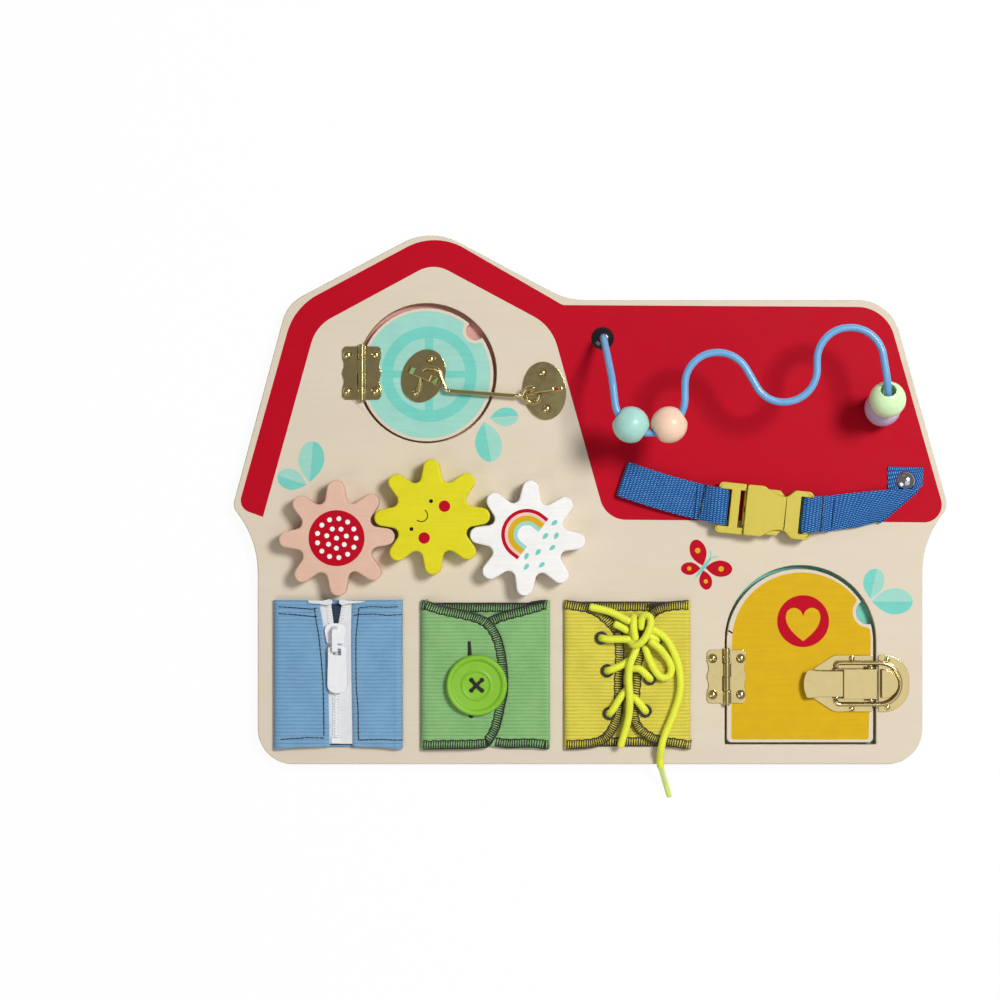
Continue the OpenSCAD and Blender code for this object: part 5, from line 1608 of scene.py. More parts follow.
@dataclass
class BuckleStrap:
    """Blue webbing in two lengths with a side-release buckle."""

    width: float = 20.0
    thickness: float = 1.3
    buckle: Point = (95.8, -6.4)
    turn: float = -6.0
    centre_z: float = 15.85
    lie_z: float = 13.0
    left_end: Point = (17.7, 12.0)
    run: float = 13.0
    bow: float = 1.9
    bar_plug: float = -22.4
    bar_socket: float = 25.2
    bend: float = 2.85
    tacks: tuple = (
        ("bar_tack_left", "buckle_plug", ((65.0, 8.7), (60.6, -9.6)), -1),
        ("bar_tack_right", "board", ((130.1, 2.0), (128.6, -17.4)), 1),
    )
    right_low: tuple = ((134.6, -17.2), (150.0, -15.3), (161.9, -12.1))
    right_high: tuple = ((136.6, 2.8), (164.2, 5.6), (183.8, 6.4))
    right_fold_end: tuple = ((167.4, -4.0), (186.8, 7.6))
    right_end: tuple = ((167.3, 18.7), (187.3, 18.2))

    def webbing(self, name: str, stations: Sequence[tuple[Vector, Vector]]) -> Piece:
        """A closed strip of webbing between two edges.

        Args:
            name: name of the piece.
            stations: for each step along the strip its right and its left edge, at mid thickness.

        Returns:
            The strip, with a UV map in millimetres.
        """
        across = 10
        points: list[Vector] = []
        lengths = [0.0]
        mids = [(a + b) / 2 for a, b in stations]
        for a, b in zip(mids, mids[1:]):
            lengths.append(lengths[-1] + (b - a).length)
        section = [(k / across, 0.5) for k in range(across + 1)]
        section += [(1 - k / across, -0.5) for k in range(across + 1)]
        for i, (right, left) in enumerate(stations):
            along = (mids[min(i + 1, len(mids) - 1)] - mids[max(i - 1, 0)]).normalized()
            over = (left - right).normalized()
            up = along.cross(over).normalized()
            for share, level in section:
                edge = min(share, 1 - share) * self.width
                thin = 1.0 if edge > 0.8 else 0.45 + 0.55 * edge / 0.8
                points.append(right.lerp(left, share) + up * level * self.thickness * thin)
        size = len(section)
        faces, laid = [], []
        for i in range(len(stations) - 1):
            a, b, u0, u1 = i * size, (i + 1) * size, lengths[i], lengths[i + 1]
            for k in range(size):
                n = (k + 1) % size
                faces.append([a + k, b + k, b + n, a + n])
                v0, v1 = section[k][0] * self.width, section[n][0] * self.width
                laid.append([(u0, v0), (u1, v0), (u1, v1), (u0, v1)])
        for i, order in ((0, range(size)), (len(stations) - 1, range(size - 1, -1, -1))):
            faces.append([i * size + k for k in order])
            laid.append([(lengths[i], section[k][0] * self.width) for k in order])
        piece = closed_up(mesh_piece(name, points, faces, laid))
        bpy.ops.object.shade_smooth_by_angle(angle=math.radians(40))
        return piece

    def at_buckle(self, along: float, across: float, height: float) -> Vector:
        """Point given along, across and above the middle of the buckle."""
        x, y = turned((along, across), self.turn, self.buckle)
        return Vector((x, y, self.centre_z + height))

    def bar_loop(self, way: int, drift: float, shift: float) -> list[tuple[Vector, Vector]]:
        """Stations of the end that loops round a bar and lies back on the strap.

        Args:
            way: 1 where the strap leaves the buckle to the right, -1 to the left.
            drift: how far the strap moves across for each millimetre away from the bar.
            shift: how far it lies across at the bar.

        Returns:
            The right and the left edge of each station.
        """
        bar, bend, half = self.bar(way), self.bend, self.width / 2
        profile = [(self.run + 2, -bend), (3.0, -bend)]
        profile += [turned((bend, 0), 270 - 15 * i) for i in range(13)]
        profile += [(3.0, bend), (6.0, bend * 0.75), (self.run - 4, 0.4 - bend + 2.2 * self.thickness)]
        profile += [(self.run - 1.5, -bend + self.thickness + 0.05)]
        profile += [(self.run + 1.5, -bend + self.thickness + 0.03)]
        stations = []
        for u, w in profile:
            mid = shift + drift * u
            edges = (mid - way * half, mid + way * half)
            stations.append(tuple(self.at_buckle(bar + way * u, across, w) for across in edges))
        return stations

    def bar(self, way: int) -> float:
        """Place along the buckle of the bar whose strap leaves to the right or to the left."""
        return self.bar_socket if way > 0 else self.bar_plug

    def tack_top(self, place: Vector, way: int) -> float:
        """Height of a stitch that lies on the end of a loop.

        Args:
            place: place of the stitch, seen from above.
            way: 1 where the strap leaves the buckle to the right, -1 to the left.

        Returns:
            The height of the thread's middle.
        """
        spot = turned((place.x - self.buckle[0], place.y - self.buckle[1]), -self.turn)
        along = (spot[0] - self.bar(way)) * way
        slope = [(6.0, 2.14), (self.run - 4, 0.41), (self.run - 1.5, -1.5), (self.run + 1.5, -1.52)]
        for (u0, w0), (u1, w1) in zip(slope, slope[1:]):
            if along <= u1:
                break
        share = min(max((along - u0) / (u1 - u0), 0.0), 1.0)
        return self.centre_z + w0 + (w1 - w0) * share + self.thickness / 2 + 0.15

    def bar_tacks(self, kit: Kit) -> None:
        """Sew the black bar tacks that close both loops."""
        stitches, sink, sway_by = 9, 0.5, 0.18
        for name, body, ends, way in self.tacks:
            threads = Tubes(sides=6)
            start, end = (Vector(p) for p in ends)
            side = Vector((start.y - end.y, end.x - start.x)).normalized()
            for i in range(stitches):
                a, b = start.lerp(end, (i + 0.04) / stitches), start.lerp(end, (i + 1.0) / stitches)
                sway = side * (sway_by if i % 2 else -sway_by)
                low, high = self.tack_top(a, way), self.tack_top(b, way)
                heights = [(a, low - sink), (a, low), (b, high), (b, high - sink)]
                threads.run([Vector((*(p + sway), z)) for p, z in heights], 0.42, tips=False)
            kit.seat(threads.piece(name), body, THREAD, "thread_black")

    def build(self, kit: Kit) -> None:
        """Weave both lengths, shape the buckle and set the rivets."""
        kit.refined("buckle_socket", 0.45, segments=3, angle=40, flatten=False)
        kit.refined("buckle_plug", 0.35, segments=3, angle=40, flatten=False)
        kit.refined("strap_rivets", 0.0, thicker=0.5)
        self.left_length()
        self.right_length(kit)
        self.bar_tacks(kit)

    def left_length(self) -> None:
        """Left strap: folded under at its rivet and looped round the plug's bar."""
        half, crest = self.width / 2, 1.4
        join = Vector((*turned((self.bar_plug - self.run, 0), self.turn, self.buckle), 0))
        start = Vector((*self.left_end, 0))
        way = (join - start).normalized()
        side = Vector((-way.y, way.x, 0))
        total = (join - start).length
        tail = FACE + self.thickness / 2
        fold = (self.lie_z + crest - tail) / 2
        profile = [(16.0, tail), (8.0, tail)]
        for a in range(270, 89, -15):
            c, s = math.cos(math.radians(a)), math.sin(math.radians(a))
            profile.append((fold + self.thickness / 2 + fold * c, tail + fold + fold * s))
        steps = 24
        for i in range(steps + 1):
            along = 8 + (total - 7) * i / steps
            profile.append((along, self.lie_z + crest - crest * max(0.0, (along - 16) / (total - 15))))
        stations = []
        for along, height in profile:
            bow = self.bow * max(0.0, (along - 8) / (total - 7)) ** 2
            middle = start + way * along + Vector((0, 0, height)) + side * bow
            stations.append((middle - side * half, middle + side * half))
        pieces = [self.webbing("webbing_left", stations)]
        pieces.append(self.webbing("webbing_left_loop", self.bar_loop(-1, 0.12, 0.3)))
        strap = joined("webbing_left", pieces)
        strap.data.materials.append(STRAP.material())
        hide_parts("strap_left")
        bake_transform(strap)
        log.info("%s bends between board and buckle_plug", strap.name)

    def right_length(self, kit: Kit) -> None:
        """Right strap: looped round the socket's bar, folded over at a slant and riveted."""
        base = FACE + self.thickness / 2
        low, high = ([Vector((*p, self.lie_z)) for p in edge] for edge in (self.right_low, self.right_high))
        stations = []
        for (a0, a1), (b0, b1) in zip(zip(low, low[1:]), zip(high, high[1:])):
            stations += [(a0.lerp(a1, i / 10), b0.lerp(b1, i / 10)) for i in range(10)]
        drop = (self.lie_z - base) / 2
        fold = (high[-1] - low[-1]).normalized()
        out = Vector((fold.y, -fold.x, 0))
        for step in range(13):
            a = math.radians(90 - 15 * step)
            shift = out * drop * math.cos(a) + Vector((0, 0, base + drop + drop * math.sin(a) - self.lie_z))
            stations.append((low[-1] + shift, high[-1] + shift))
        for edges, steps in ((self.right_fold_end, 4), (self.right_end, 8)):
            (a0, b0), (a1, b1) = stations[-1], (Vector((*p, base)) for p in edges)
            stations += [(a0.lerp(a1, i / steps), b0.lerp(b1, i / steps)) for i in range(1, steps + 1)]
        pieces = [self.webbing("webbing_right_run", stations)]
        pieces.append(self.webbing("webbing_right_loop", self.bar_loop(1, 0.15, 0.8)))
        kit.seat(joined("webbing_right", pieces), "board", STRAP, "webbing", ["strap_right"])


# ---- cloth panels


class Side(Enum):
    """The side of a panel that a leaf of cloth comes out of."""

    LEFT = 1
    RIGHT = -1


@dataclass
class ClothLeaf:
    """One leaf of ribbed cloth that comes up out of a slot and lies over the face."""

    name: str
    slot_x: float
    side: Side
    low_z: float
    outline: Outline
    pitch: float = 2.1
    cord: float = 0.2
    columns: int = 30
    thickness: float = 1.4

    def bend(self) -> Point:
        """Reach and rise of the bend in which the cloth turns over the slot's edge."""
        rise = max(1.8, self.low_z + self.thickness - FACE - 1.2)
        return rise + 0.6, rise

    def profile(self) -> list[Point]:
        """Offset from the slot and height of the outer face, from the slot to the end of the bend."""
        (reach, rise), top = self.bend(), self.low_z + self.thickness
        points = [(-self.thickness / 2, 5.6), (-self.thickness / 2, 9.4), (-1.1, 10.3)]
        for degrees in range(0, 91, 15):
            a = math.radians(degrees)
            points.append((reach - BULGE - reach * math.cos(a), top - rise + rise * math.sin(a)))
        return points

    def surface(self, x: float, y: float) -> float:
        """Height of the upper face anywhere, also where the cloth bends down to its slot."""
        reach, rise = self.bend()
        short = reach - BULGE - self.side.value * (x - self.slot_x)
        if short <= 0:
            return self.height(x, y)
        return self.height(x, y) - rise * (1 - math.sqrt(max(0.0, 1 - (short / reach) ** 2)))

    def edge(self, y: float) -> float:
        """The cloth's free edge at a height on the board."""
        low, high = self.span()
        y = min(max(y, low + 0.02), high - 0.02)
        crossings = []
        for (x0, y0), (x1, y1) in zip(self.outline, self.outline[1:] + self.outline[:1]):
            if (y0 - y) * (y1 - y) <= 0 and abs(y1 - y0) > 1e-9:
                crossings.append(x0 + (x1 - x0) * (y - y0) / (y1 - y0))
        return max(crossings) if self.side is Side.LEFT else min(crossings)

    def span(self) -> tuple[float, float]:
        """Lowest and highest y of the leaf."""
        ys = [y for _, y in self.outline]
        return min(ys), max(ys)

    def height(self, x: float, y: float) -> float:
        """Height of the cloth's upper face, with its cords and a slight unevenness."""
        low, high = self.span()
        cords = abs(math.cos(math.pi * y / self.pitch)) ** 0.7 * self.cord
        wave = 0.22 * math.sin(x / 5.5 + y / 31 + self.low_z) * math.sin(y / 13 + 1)
        side = abs(self.edge(y) - x) * 0.8
        short = max(0.0, 1 - max(0.0, min(y - low, high - y, side)) / 0.9)
        roll = 0.55 * (1 - math.sqrt(1 - short**2))
        return self.low_z + self.thickness + cords - self.cord + wave - 0.1 - roll

    def build(self) -> Piece:
        """The sheet of cloth."""
        way = self.side.value
        profile = self.profile()
        low, high = self.span()
        rows = round((high - low) / self.pitch * 6)
        total = len(profile) + self.columns

        def place(column: int, share: float) -> tuple[float, float, float, float, float]:
            """Place and UV of one vertex."""
            k = column if way > 0 else total - 1 - column
            if k < 3:
                y = CLOTH_LOW + (CLOTH_TOP - CLOTH_LOW) * share
                return self.slot_x + way * profile[k][0], y, profile[k][1], 1.5 * k - 9.0, y
            y = low + (high - low) * share
            if k < len(profile):
                out, z = profile[k]
                x = self.slot_x + way * out
                z += (self.height(x, y) - self.low_z - self.thickness) * (k - 3) / len(profile)
                return x, y, z, 0.6 * (k - len(profile)), y
            start = self.slot_x + way * profile[-1][0]
            t = (k - len(profile) + 1) / self.columns
            x = start + (self.edge(y) - start) * t
            return x, y, self.height(x, y), abs(x - start), y

        return sheet_grid(self.name, total - 1, rows, place, self.thickness)

    def flat(self) -> tuple[float, float, float]:
        """Width and length of the cut cloth and its area, in metres."""
        profile = self.profile()
        rise = sum((Vector(b) - Vector(a)).length for a, b in zip(profile, profile[1:]))
        low, high = self.span()
        xs = [x for x, _ in self.outline]
        reach = max(abs(x - self.slot_x) for x in xs) + rise - profile[-1][0]
        steps = 80
        area = 0.0
        for i in range(steps):
            y = low + (high - low) * (i + 0.5) / steps
            area += (abs(self.edge(y) - self.slot_x) + rise - profile[-1][0]) * (high - low) / steps
        return reach * MM, (high - low) * MM, area * MM * MM


def lay(kit: Kit, cloth: ClothLeaf, finish: Finish, slot: str, node: str) -> None:
    piece = kit.seat(cloth.build(), "board", finish, slot, [node])
    width, length, area = cloth.flat()
    log.info("%s is cut %.1f x %.1f mm", piece.name, width / MM, length / MM)


def stitch_row(threads: Tubes, points: Sequence[Point], height: Height) -> None:
    """Sew a row of straight stitches.

    Args:
        threads: where the stitches are gathered.
        points: the line of the row.
        height: height of the cloth at a place.
    """
    length, gap, radius = 2.4, 0.35, 0.3
    for place, way in resampled(points, length + gap):
        route = []
        for share, sink in ((-0.5, 0.25), (-0.4, -0.1), (0.0, -0.16), (0.4, -0.1), (0.5, 0.25)):
            x, y = place + way * share * length
            route.append(Vector((x, y, height(x, y) - sink)))
        threads.run(route, radius, tips=False)


def thread_line(threads: Tubes, points: Sequence[Point], height: Height, radius: float, lift: float) -> None:
    """Lay one unbroken thread along a line on the cloth."""
    threads.run([Vector((x, y, height(x, y) + lift)) for x, y in points], radius, tips=False)


def overlock(
    threads: Tubes, points: Sequence[Point], height: Height, depth: float = 4.9, pitch: float = 1.35
) -> None:
    """Sew an overlock seam: slanting threads that wrap the raw edge, between two running threads.

    Args:
        threads: where the stitches are gathered.
        points: the raw edge, with the cloth on its left.
        height: height of the cloth at a place.
        depth: depth of the seam.
        pitch: distance between threads.
    """
    radius = 0.3
    stations = resampled(points, pitch)
    inner, outer = [], []
    for i, (place, way) in enumerate(stations):
        inward = Vector((-way.y, way.x))
        reach = depth * (1 + 0.05 * math.sin(i * 1.7))
        for lean, back, thick in ((0.75, 0.0, 1.0), (-0.45, 0.75, 0.62)):
            route = []
            for share, drop in ((-0.04, 0.6), (0.02, -0.16), (0.5, -0.2), (0.92, -0.16), (1.0, 0.2)):
                x, y = place + inward * reach * share + way * (back + lean * share)
                base = place + inward * max(0.15, reach * share) + way * (back + lean * share)
                route.append(Vector((x, y, height(*base) - drop)))
            threads.run(route, radius * thick, tips=False)
        inner.append(tuple(place + inward * (reach - 0.15)))
        outer.append(tuple(place + inward * 0.2))
    thread_line(threads, inner, height, radius, 0.12)
    thread_line(threads, outer, height, radius, 0.05)


def edge_line(cloth: ClothLeaf) -> Outline:
    """The free edges of a leaf from slot to slot, with the cloth on the left."""
    x = cloth.slot_x - cloth.side.value * 0.9
    line = [(x, cloth.outline[0][1]), *cloth.outline, (x, cloth.outline[-1][1])]
    low, high = cloth.span()
    middle = [p for p in line if low + 0.3 <= p[1] <= high - 0.3 or p in (line[0], line[-1])]
    return middle if len(middle) > 4 else line


@dataclass
class ZipPanel:
    """Blue cloth with a white zip, its tapes folded outwards at the top."""

    slots: Point = (-176.1, -107.0)
    middle: float = -142.7
    low_z: float = 13.0
    tape_z: float = 12.1
    left_edge: tuple = (
        (-174.9, -139.9), (-165, -139.0), (-150, -138.4), (-146.2, -138.2), (-146.3, -134), (-146.9, -108.4),
        (-147.6, -89), (-148.6, -80), (-150.2, -68), (-151.7, -60), (-151.9, -56.2), (-165, -56.1),
        (-174.9, -56.4),
    )  # fmt: skip
    right_edge: tuple = (
        (-108.2, -56.4), (-120, -56.1), (-133.5, -56.2), (-134.0, -75), (-133.8, -89), (-133.4, -108),
        (-133.1, -134), (-133.1, -138.4), (-118, -138.6), (-108.2, -139.9),
    )  # fmt: skip
    left_rows: tuple = (
        ((-175.2, -59.9), (-165.0, -60.5), (-156.0, -61.3), (-154.6, -60.9)),
        (
            (-154.6, -60.9), (-154.1, -65.6), (-152.2, -76.4), (-150.9, -89.2), (-149.9, -102.0),
            (-149.6, -114.7), (-149.3, -133.4),
        ),
        ((-175.2, -63.7), (-165.0, -64.4), (-154.1, -65.5), (-152.0, -65.6)),
        ((-173.9, -134.2), (-165.0, -133.7), (-158.6, -133.3), (-149.3, -133.5)),
    )  # fmt: skip
    right_rows: tuple = (
        (
            (-129.7, -60.4), (-130.2, -65.0), (-131.4, -76.4), (-131.5, -89.2), (-131.2, -105.2),
            (-130.2, -117.9), (-130.0, -134.4),
        ),
        ((-129.6, -60.4), (-122.9, -59.9), (-113.9, -60.2), (-106.9, -59.9)),
        ((-132.9, -64.8), (-129.9, -64.2), (-120.3, -64.0), (-113.9, -64.7), (-106.6, -64.3)),
        ((-129.9, -134.6), (-117.1, -134.3), (-105.8, -134.8)),
    )  # fmt: skip
    tape_left: tuple = (
        (-153.6, -136.9), (-142.85, -136.9), (-142.85, -84.0), (-143.0, -76), (-144.2, -68.2),
        (-145.3, -60), (-145.6, -56.6), (-150.0, -56.6), (-153.6, -58),
    )  # fmt: skip
    tape_right: tuple = (
        (-142.55, -136.9), (-131.6, -136.9), (-131.6, -58), (-135, -56.6), (-139.0, -56.6),
        (-139.7, -60), (-141.2, -68.2), (-142.4, -76), (-142.55, -84.0),
    )  # fmt: skip
    turned_ends: tuple = (
        (
            (-158.2, -57.9), (-152, -58.4), (-147.0, -59.2), (-144.6, -58.2), (-144.6, -56.0),
            (-146.2, -55.3), (-149.5, -56.4), (-158.2, -56.0),
        ),
        (
            (-140.9, -58.2), (-138.6, -59.2), (-135.5, -58.2), (-129.0, -57.8), (-125.8, -56.8),
            (-136.0, -56.3), (-139.6, -55.3), (-140.9, -56.0),
        ),
    )  # fmt: skip
    tooth: tuple = ((-1.5, -0.42, 0.2), (1.0, -0.42, 0.3), (1.0, 0.42, 0.3), (-1.5, 0.42, 0.2))
    tooth_pitch: float = 0.78
    closed_teeth: int = 64
    chain_low: float = -132.5
    opening: tuple = ((-1, (-144.3, -69.0), (-145.6, -57.6)), (1, (-141.1, -69.0), (-139.0, -57.6)))
    stop: tuple = (
        (-145.3, -136.6, 0.5), (-140.1, -136.6, 0.5), (-140.1, -133.4, 0.8), (-145.3, -133.4, 0.8),
    )  # fmt: skip

    def build(self, kit: Kit) -> None:
        """Lay the cloth, sew it and fit the zip."""
        left = ClothLeaf("blue_cloth_left", self.slots[0], Side.LEFT, self.low_z, list(self.left_edge))
        right = ClothLeaf("blue_cloth_right", self.slots[1], Side.RIGHT, self.low_z, list(self.right_edge))
        lay(kit, left, BLUE_CLOTH, "blue_cloth", "zip_panel_left")
        lay(kit, right, BLUE_CLOTH, "blue_cloth", "zip_panel_right")
        for name, box, lift, finish in (
            ("blue_cloth_back", (-153.0, -132.0, -138.9, -56.4), 1.1, BLUE_CLOTH),
            # a dark sheet over the middle of the back cloth: painted shade between the zip tapes
            ("zip_shade_sheet", (-151.0, -134.0, -137.6, -58.4), 1.75, ZIP_SHADE_CLOTH),
        ):
            flat_cloth(kit, name, box, FACE + lift, finish, "blue_cloth")
        self.zip(kit)
        threads = Tubes(sides=6)
        for rows, cloth in ((self.left_rows, left), (self.right_rows, right)):
            for row in rows:
                stitch_row(threads, row, cloth.surface)
        kit.seat(threads.piece("blue_panel_stitches"), "board", THREAD, "thread_black")

    def zip(self, kit: Kit) -> None:
        """Weave the tapes, set the teeth and fit slider and pull."""
        low, high = self.tape_z, self.tape_z + 0.75
        tapes = [plate("tape", outline, low, high) for outline in (self.tape_left, self.tape_right)]
        tapes += [softened(plate("tape", outline, 14.3, 15.6), 0.5, angle=60) for outline in self.turned_ends]
        kit.seat(joined("zip_tapes", tapes), "board", ZIP_TAPE, kit.slot["zip_chain"], ["zip_chain"])
        tooth = softened(plate("tooth", rounded(self.tooth), high - 0.3, high + 0.75), 0.15, 1)
        rows = [(1 if i % 2 else -1, self.middle, i) for i in range(self.closed_teeth)]
        places = [(side, x + side * 0.45, self.chain_low + self.tooth_pitch * i) for side, x, i in rows]
        for side, knee, top in self.opening:
            spots = [Vector(knee).lerp(Vector(top), i / 7.5) for i in range(8)]
            places += [(side, spot.x + side * 1.2, spot.y) for spot in spots]
        teeth = copies(tooth, [moved(x, y, 180 if side > 0 else 0) for side, x, y in places])
        kit.seat(joined("zip_teeth", teeth), "board", ZIP_WHITE, "zip_white")
        stop = softened(plate("zip_stop", rounded(self.stop), high, high + 1.1), 0.3)
        kit.seat(stop, "board", ZIP_WHITE, "zip_white")
        kit.refined("zip_slider", 0.3, segments=3, angle=40)
        pull = kit.refined("zip_pull", 0.4, segments=3, angle=40)
        back, on = (Matrix.Translation(Vector((x, 0, 0)) * MM) for x in (143.0, -141.9))
        pull.data.transform(on @ Matrix.Diagonal((1.13, 1, 1, 1)) @ back)


def flat_cloth(
    kit: Kit, name: str, box: Box, top: float, finish: Finish, slot: str, nodes: Sequence[str] = (),
    thickness: float = 0.7,
) -> None:  # fmt: skip

    """Args:
        kit: the frame.
        name: name of the piece.
        box: lowest and highest x, then lowest and highest y.
        top: height of its upper face.
        finish: its finish.
        slot: the record's material slot.
        nodes: CAD nodes that it stands for.
        thickness: thickness of the cloth.
    """
    left, right, low, high = box
    columns, rows = max(4, round((right - left) / 2)), round((high - low) * 3)

    def place(column: int, share: float) -> tuple[float, float, float, float, float]:
        """Place and UV of one vertex."""
        x = left + (right - left) * column / columns
        y = low + (high - low) * share
        return x, y, top - 0.2 + 0.2 * abs(math.cos(math.pi * y / 2.0)) ** 0.7, x, y

    piece = kit.seat(sheet_grid(name, columns, rows, place, thickness), "board", finish, slot, nodes)


@dataclass
class ButtonPanel:
    """Green cloth that buttons over itself."""

    slots: Point = (-93.5, -24.3)
    under_z: float = 11.6
    flap_z: float = 13.3
    button: Point = (-63.8, -103.7)
    button_top: float = 17.2
    flap_edge: tuple = (
        (-92.3, -139.9), (-75, -139.6), (-62, -139.2), (-56.9, -138.2), (-54.6, -135.1), (-51.7, -130.0),
        (-49.7, -123.6), (-47.8, -114.7), (-46.6, -109.6), (-46.2, -102.0), (-46.8, -92.4), (-48.4, -82.8),
        (-50.3, -76.4), (-53.5, -70.7), (-57.3, -66.9), (-62.5, -64.2), (-68.8, -62.4), (-75.2, -61.0),
        (-83, -59.4), (-92.3, -56.4),
    )  # fmt: skip
    under_edge: tuple = (
        (-25.5, -56.4), (-30.5, -57.9), (-36.9, -59.7), (-46.4, -62.2), (-52.3, -64.0), (-58.0, -66.8),
        (-66, -70), (-69.8, -76), (-69.8, -130), (-64, -136.5), (-54.2, -138.2), (-46.4, -139.2),
        (-36.9, -139.0), (-30, -139.2), (-25.5, -139.9),
    )  # fmt: skip
    hole: tuple = (((-67.9, -79.4), (-67.6, -87.5), 1.5, 2.3), ((-66.9, -116.5), (-66.9, -122.0), 6.4, 1.8))
    cross_reach: float = 3.05

    def build(self, kit: Kit) -> None:
        """Lay the three layers, sew them and fit the button."""
        left, right = self.slots
        under = ClothLeaf("green_cloth_under", right, Side.RIGHT, self.under_z, drawn(self.under_edge), 2.0)
        flap = ClothLeaf("green_cloth_flap", left, Side.LEFT, self.flap_z, drawn(self.flap_edge), 2.0)
        lay(kit, under, GREEN_CLOTH, "green_cloth", "button_panel")
        lay(kit, flap, GREEN_CLOTH, "green_cloth", "button_flap")
        box = (left + 2.2, right - 2.2, -75.0, -58.0)
        flat_cloth(kit, "green_cloth_back", box, FACE + 1.2, GREEN_CLOTH, "green_cloth")
        kit.refined("button", 0.25, segments=3, angle=25)
        kit.kept("button_thread")
        threads = Tubes(sides=6)
        overlock(threads, edge_line(flap), flap.surface)
        overlock(threads, [(right + 0.9, -56.6), *drawn(self.under_edge[:6])], under.surface)
        overlock(threads, [*drawn(self.under_edge[10:]), (right + 0.9, -139.7)], under.surface)
        overlock(threads, [(box[1], box[3]), (box[0], box[3])], lambda x, y: FACE + 1.15)
        overlock(threads, [(-26.5, -56.3), (-33.5, -57.3)], lambda x, y: under.surface(x, y) + 0.5, 1.5, 0.5)
        self.buttonhole(threads, flap)
        kit.seat(threads.piece("green_panel_stitches"), "board", THREAD, "thread_black")
        kit.seat(self.cross_stitch().piece("button_cross_stitch"), "button", THREAD, "thread_black")

    def buttonhole(self, threads: Tubes, flap: ClothLeaf) -> None:
        """Sew the close stitches of the buttonhole, above and below the button.

        Args:
            threads: where the stitches are gathered.
            flap: the cloth that has the buttonhole.
        """
        pitch = 0.42
        for start, end, first, last in self.hole:
            count = round((Vector(end) - Vector(start)).length / pitch)
            for i in range(count + 1):
                spot = Vector(start).lerp(Vector(end), i / count)
                half = (first + (last - first) * i / count) / 2 * (1 + 0.16 * math.sin(i * 2.3))
                lean = 0.22 * math.sin(i * 1.9)
                route = []
                for share, sink in ((-1, 0.2), (-0.8, -0.15), (0, -0.3), (0.8, -0.15), (1, 0.2)):
                    p = spot + Vector((half * share, lean * share))
                    route.append(Vector((*p, flap.surface(*p) - sink)))
                threads.run(route, 0.28, tips=False)

    def cross_stitch(self) -> Tubes:
        """Cross of doubled thread through the four holes of the button, and a thick black plug in each hole,
        partly thread and partly painted shade of the hole.
        """
        cross, top = Tubes(sides=8), self.button_top
        for turn, crest in ((45, 0.55), (135, 0.95)):
            for shift in (-0.45, 0.45):
                knots = []
                for share, lift in ((-1, -1.2), (-0.85, 0.2), (0, crest), (0.85, 0.2), (1, -1.2)):
                    place = turned((self.cross_reach * share * 1.414, shift), turn, self.button)
                    knots.append((*place, top + lift))
                cross.run(smooth_route(knots, 0.4), 0.5, tips=False)
        # plugs thicker than the thread: thread in the holes and painted shade inside them
        for turn in (45, 135, 225, 315):
            x, y = turned((self.cross_reach * 1.33, 0), turn, self.button)
            cross.run([Vector((x, y, top - 1.4)), Vector((x, y, top - 0.25))], 1.25)
        return cross



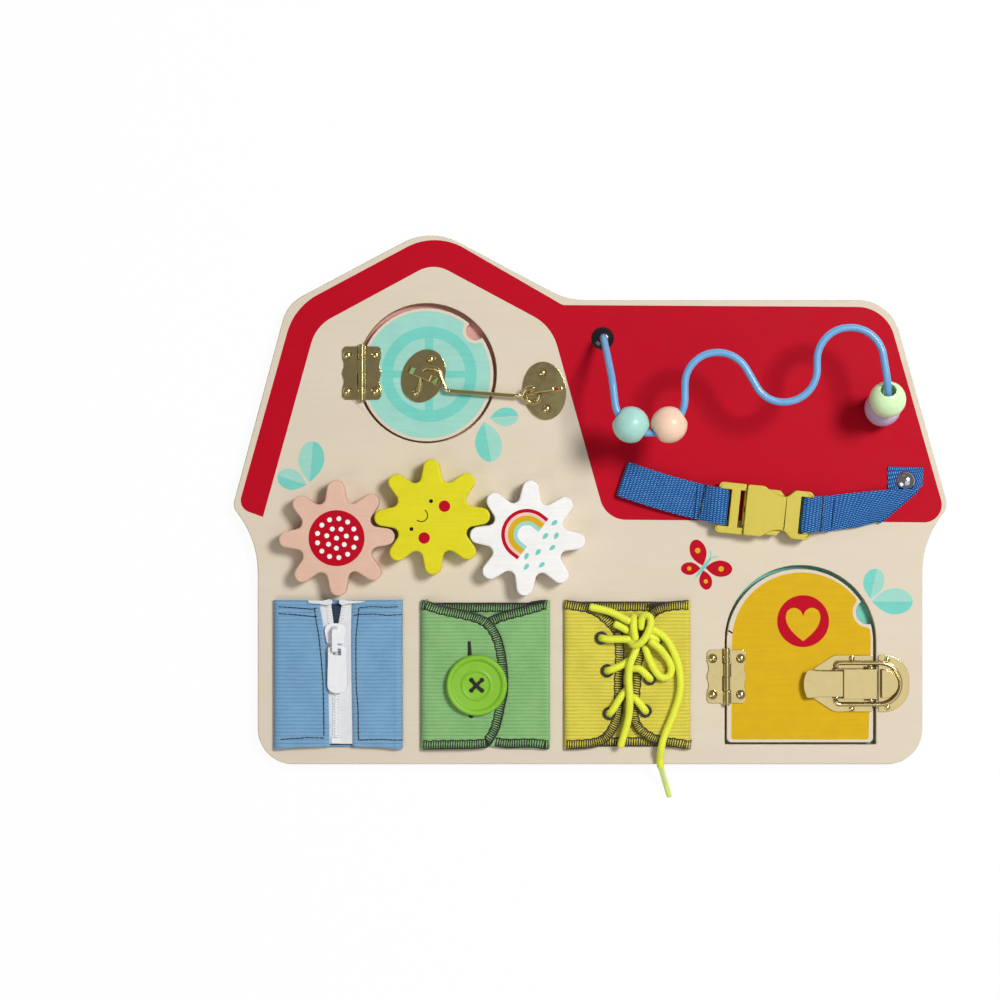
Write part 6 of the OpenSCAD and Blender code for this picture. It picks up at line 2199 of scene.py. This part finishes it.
@dataclass
class LacePanel:
    """Yellow cloth in two flaps that lace over a tongue."""

    slots: Point = (-13.1, 54.7)
    flap_z: float = 12.3
    left_edge: tuple = (
        (-11.9, -139.9), (1.6, -138.8), (8.1, -136.6), (12.2, -132.9), (15.5, -127.4), (17.5, -121.2),
        (18.3, -113.8), (18.3, -101.7), (18.9, -90.2), (18.6, -79.6), (17.5, -73.1), (14.7, -69.4),
        (10.6, -65.2), (5.7, -61.3), (0, -58.6), (-6.6, -57.3), (-11.9, -56.4),
    )  # fmt: skip
    right_edge: tuple = (
        (53.5, -56.4), (46.4, -57.0), (40.8, -58.0), (35.8, -60.1), (33.4, -62.1), (30.6, -66.5),
        (28.2, -73), (26.2, -80), (25.0, -87), (24.0, -93.5), (23.2, -105.7), (22.0, -116.3),
        (22.4, -122.9), (24.0, -127.4), (27.7, -131.8), (34.3, -135.9), (42.4, -138.0), (50.0, -139.1),
        (53.5, -139.9),
    )  # fmt: skip

    def build(self, kit: Kit) -> None:
        """Lay the flaps and the tongue, sew them and set the eyelets."""
        x0, x1 = self.slots
        left = ClothLeaf("yellow_cloth_left", x0, Side.LEFT, self.flap_z, drawn(self.left_edge), 2.0)
        right = ClothLeaf("yellow_cloth_right", x1, Side.RIGHT, self.flap_z, drawn(self.right_edge), 2.0)
        lay(kit, left, YELLOW_CLOTH, "yellow_cloth", "lace_flap_left")
        lay(kit, right, YELLOW_CLOTH, "yellow_cloth", "lace_flap_right")
        box = (x0 + 2.6, x1 - 2.6, CLOTH_LOW + 1.0, CLOTH_TOP - 0.4)
        tongue = "yellow_cloth_tongue"
        flat_cloth(kit, tongue, box, FACE + 1.2, YELLOW_CLOTH, "yellow_cloth", ["lace_panel"], 1.0)
        kit.refined("eyelets", 0.2, segments=3, angle=40, thicker=0.12)
        threads = Tubes(sides=6)
        overlock(threads, edge_line(left), left.surface)
        overlock(threads, edge_line(right), right.surface)
        for ends in (((box[1], box[3]), (box[0], box[3])), ((box[0], box[2]), (box[1], box[2]))):
            overlock(threads, ends, lambda x, y: FACE + 1.15)
        slack = [(40.5, -57.3), (33.0, -58.4)]
        overlock(threads, slack, lambda x, y: right.surface(x, y - 2) + 0.7, 1.5, 0.5)
        kit.seat(threads.piece("yellow_panel_stitches"), "board", BROWN_THREAD, "thread_black")


# ---- all together


def main() -> None:
    """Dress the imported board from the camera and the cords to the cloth."""
    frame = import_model()
    kit = Kit(frame)
    studio = Studio()
    studio.camera()
    Shoelace().build(kit)
    for assembly in (
        BarnBoard(), RoundDoor(), BarnDoor(), Fittings(), Gears(), BeadTrack(), BuckleStrap(), ZipPanel(),
        ButtonPanel(), LacePanel(),
    ):  # fmt: skip
        assembly.build(kit)
    studio.build()
    log.info("sizes written")


if __name__ == "__main__":
    main()
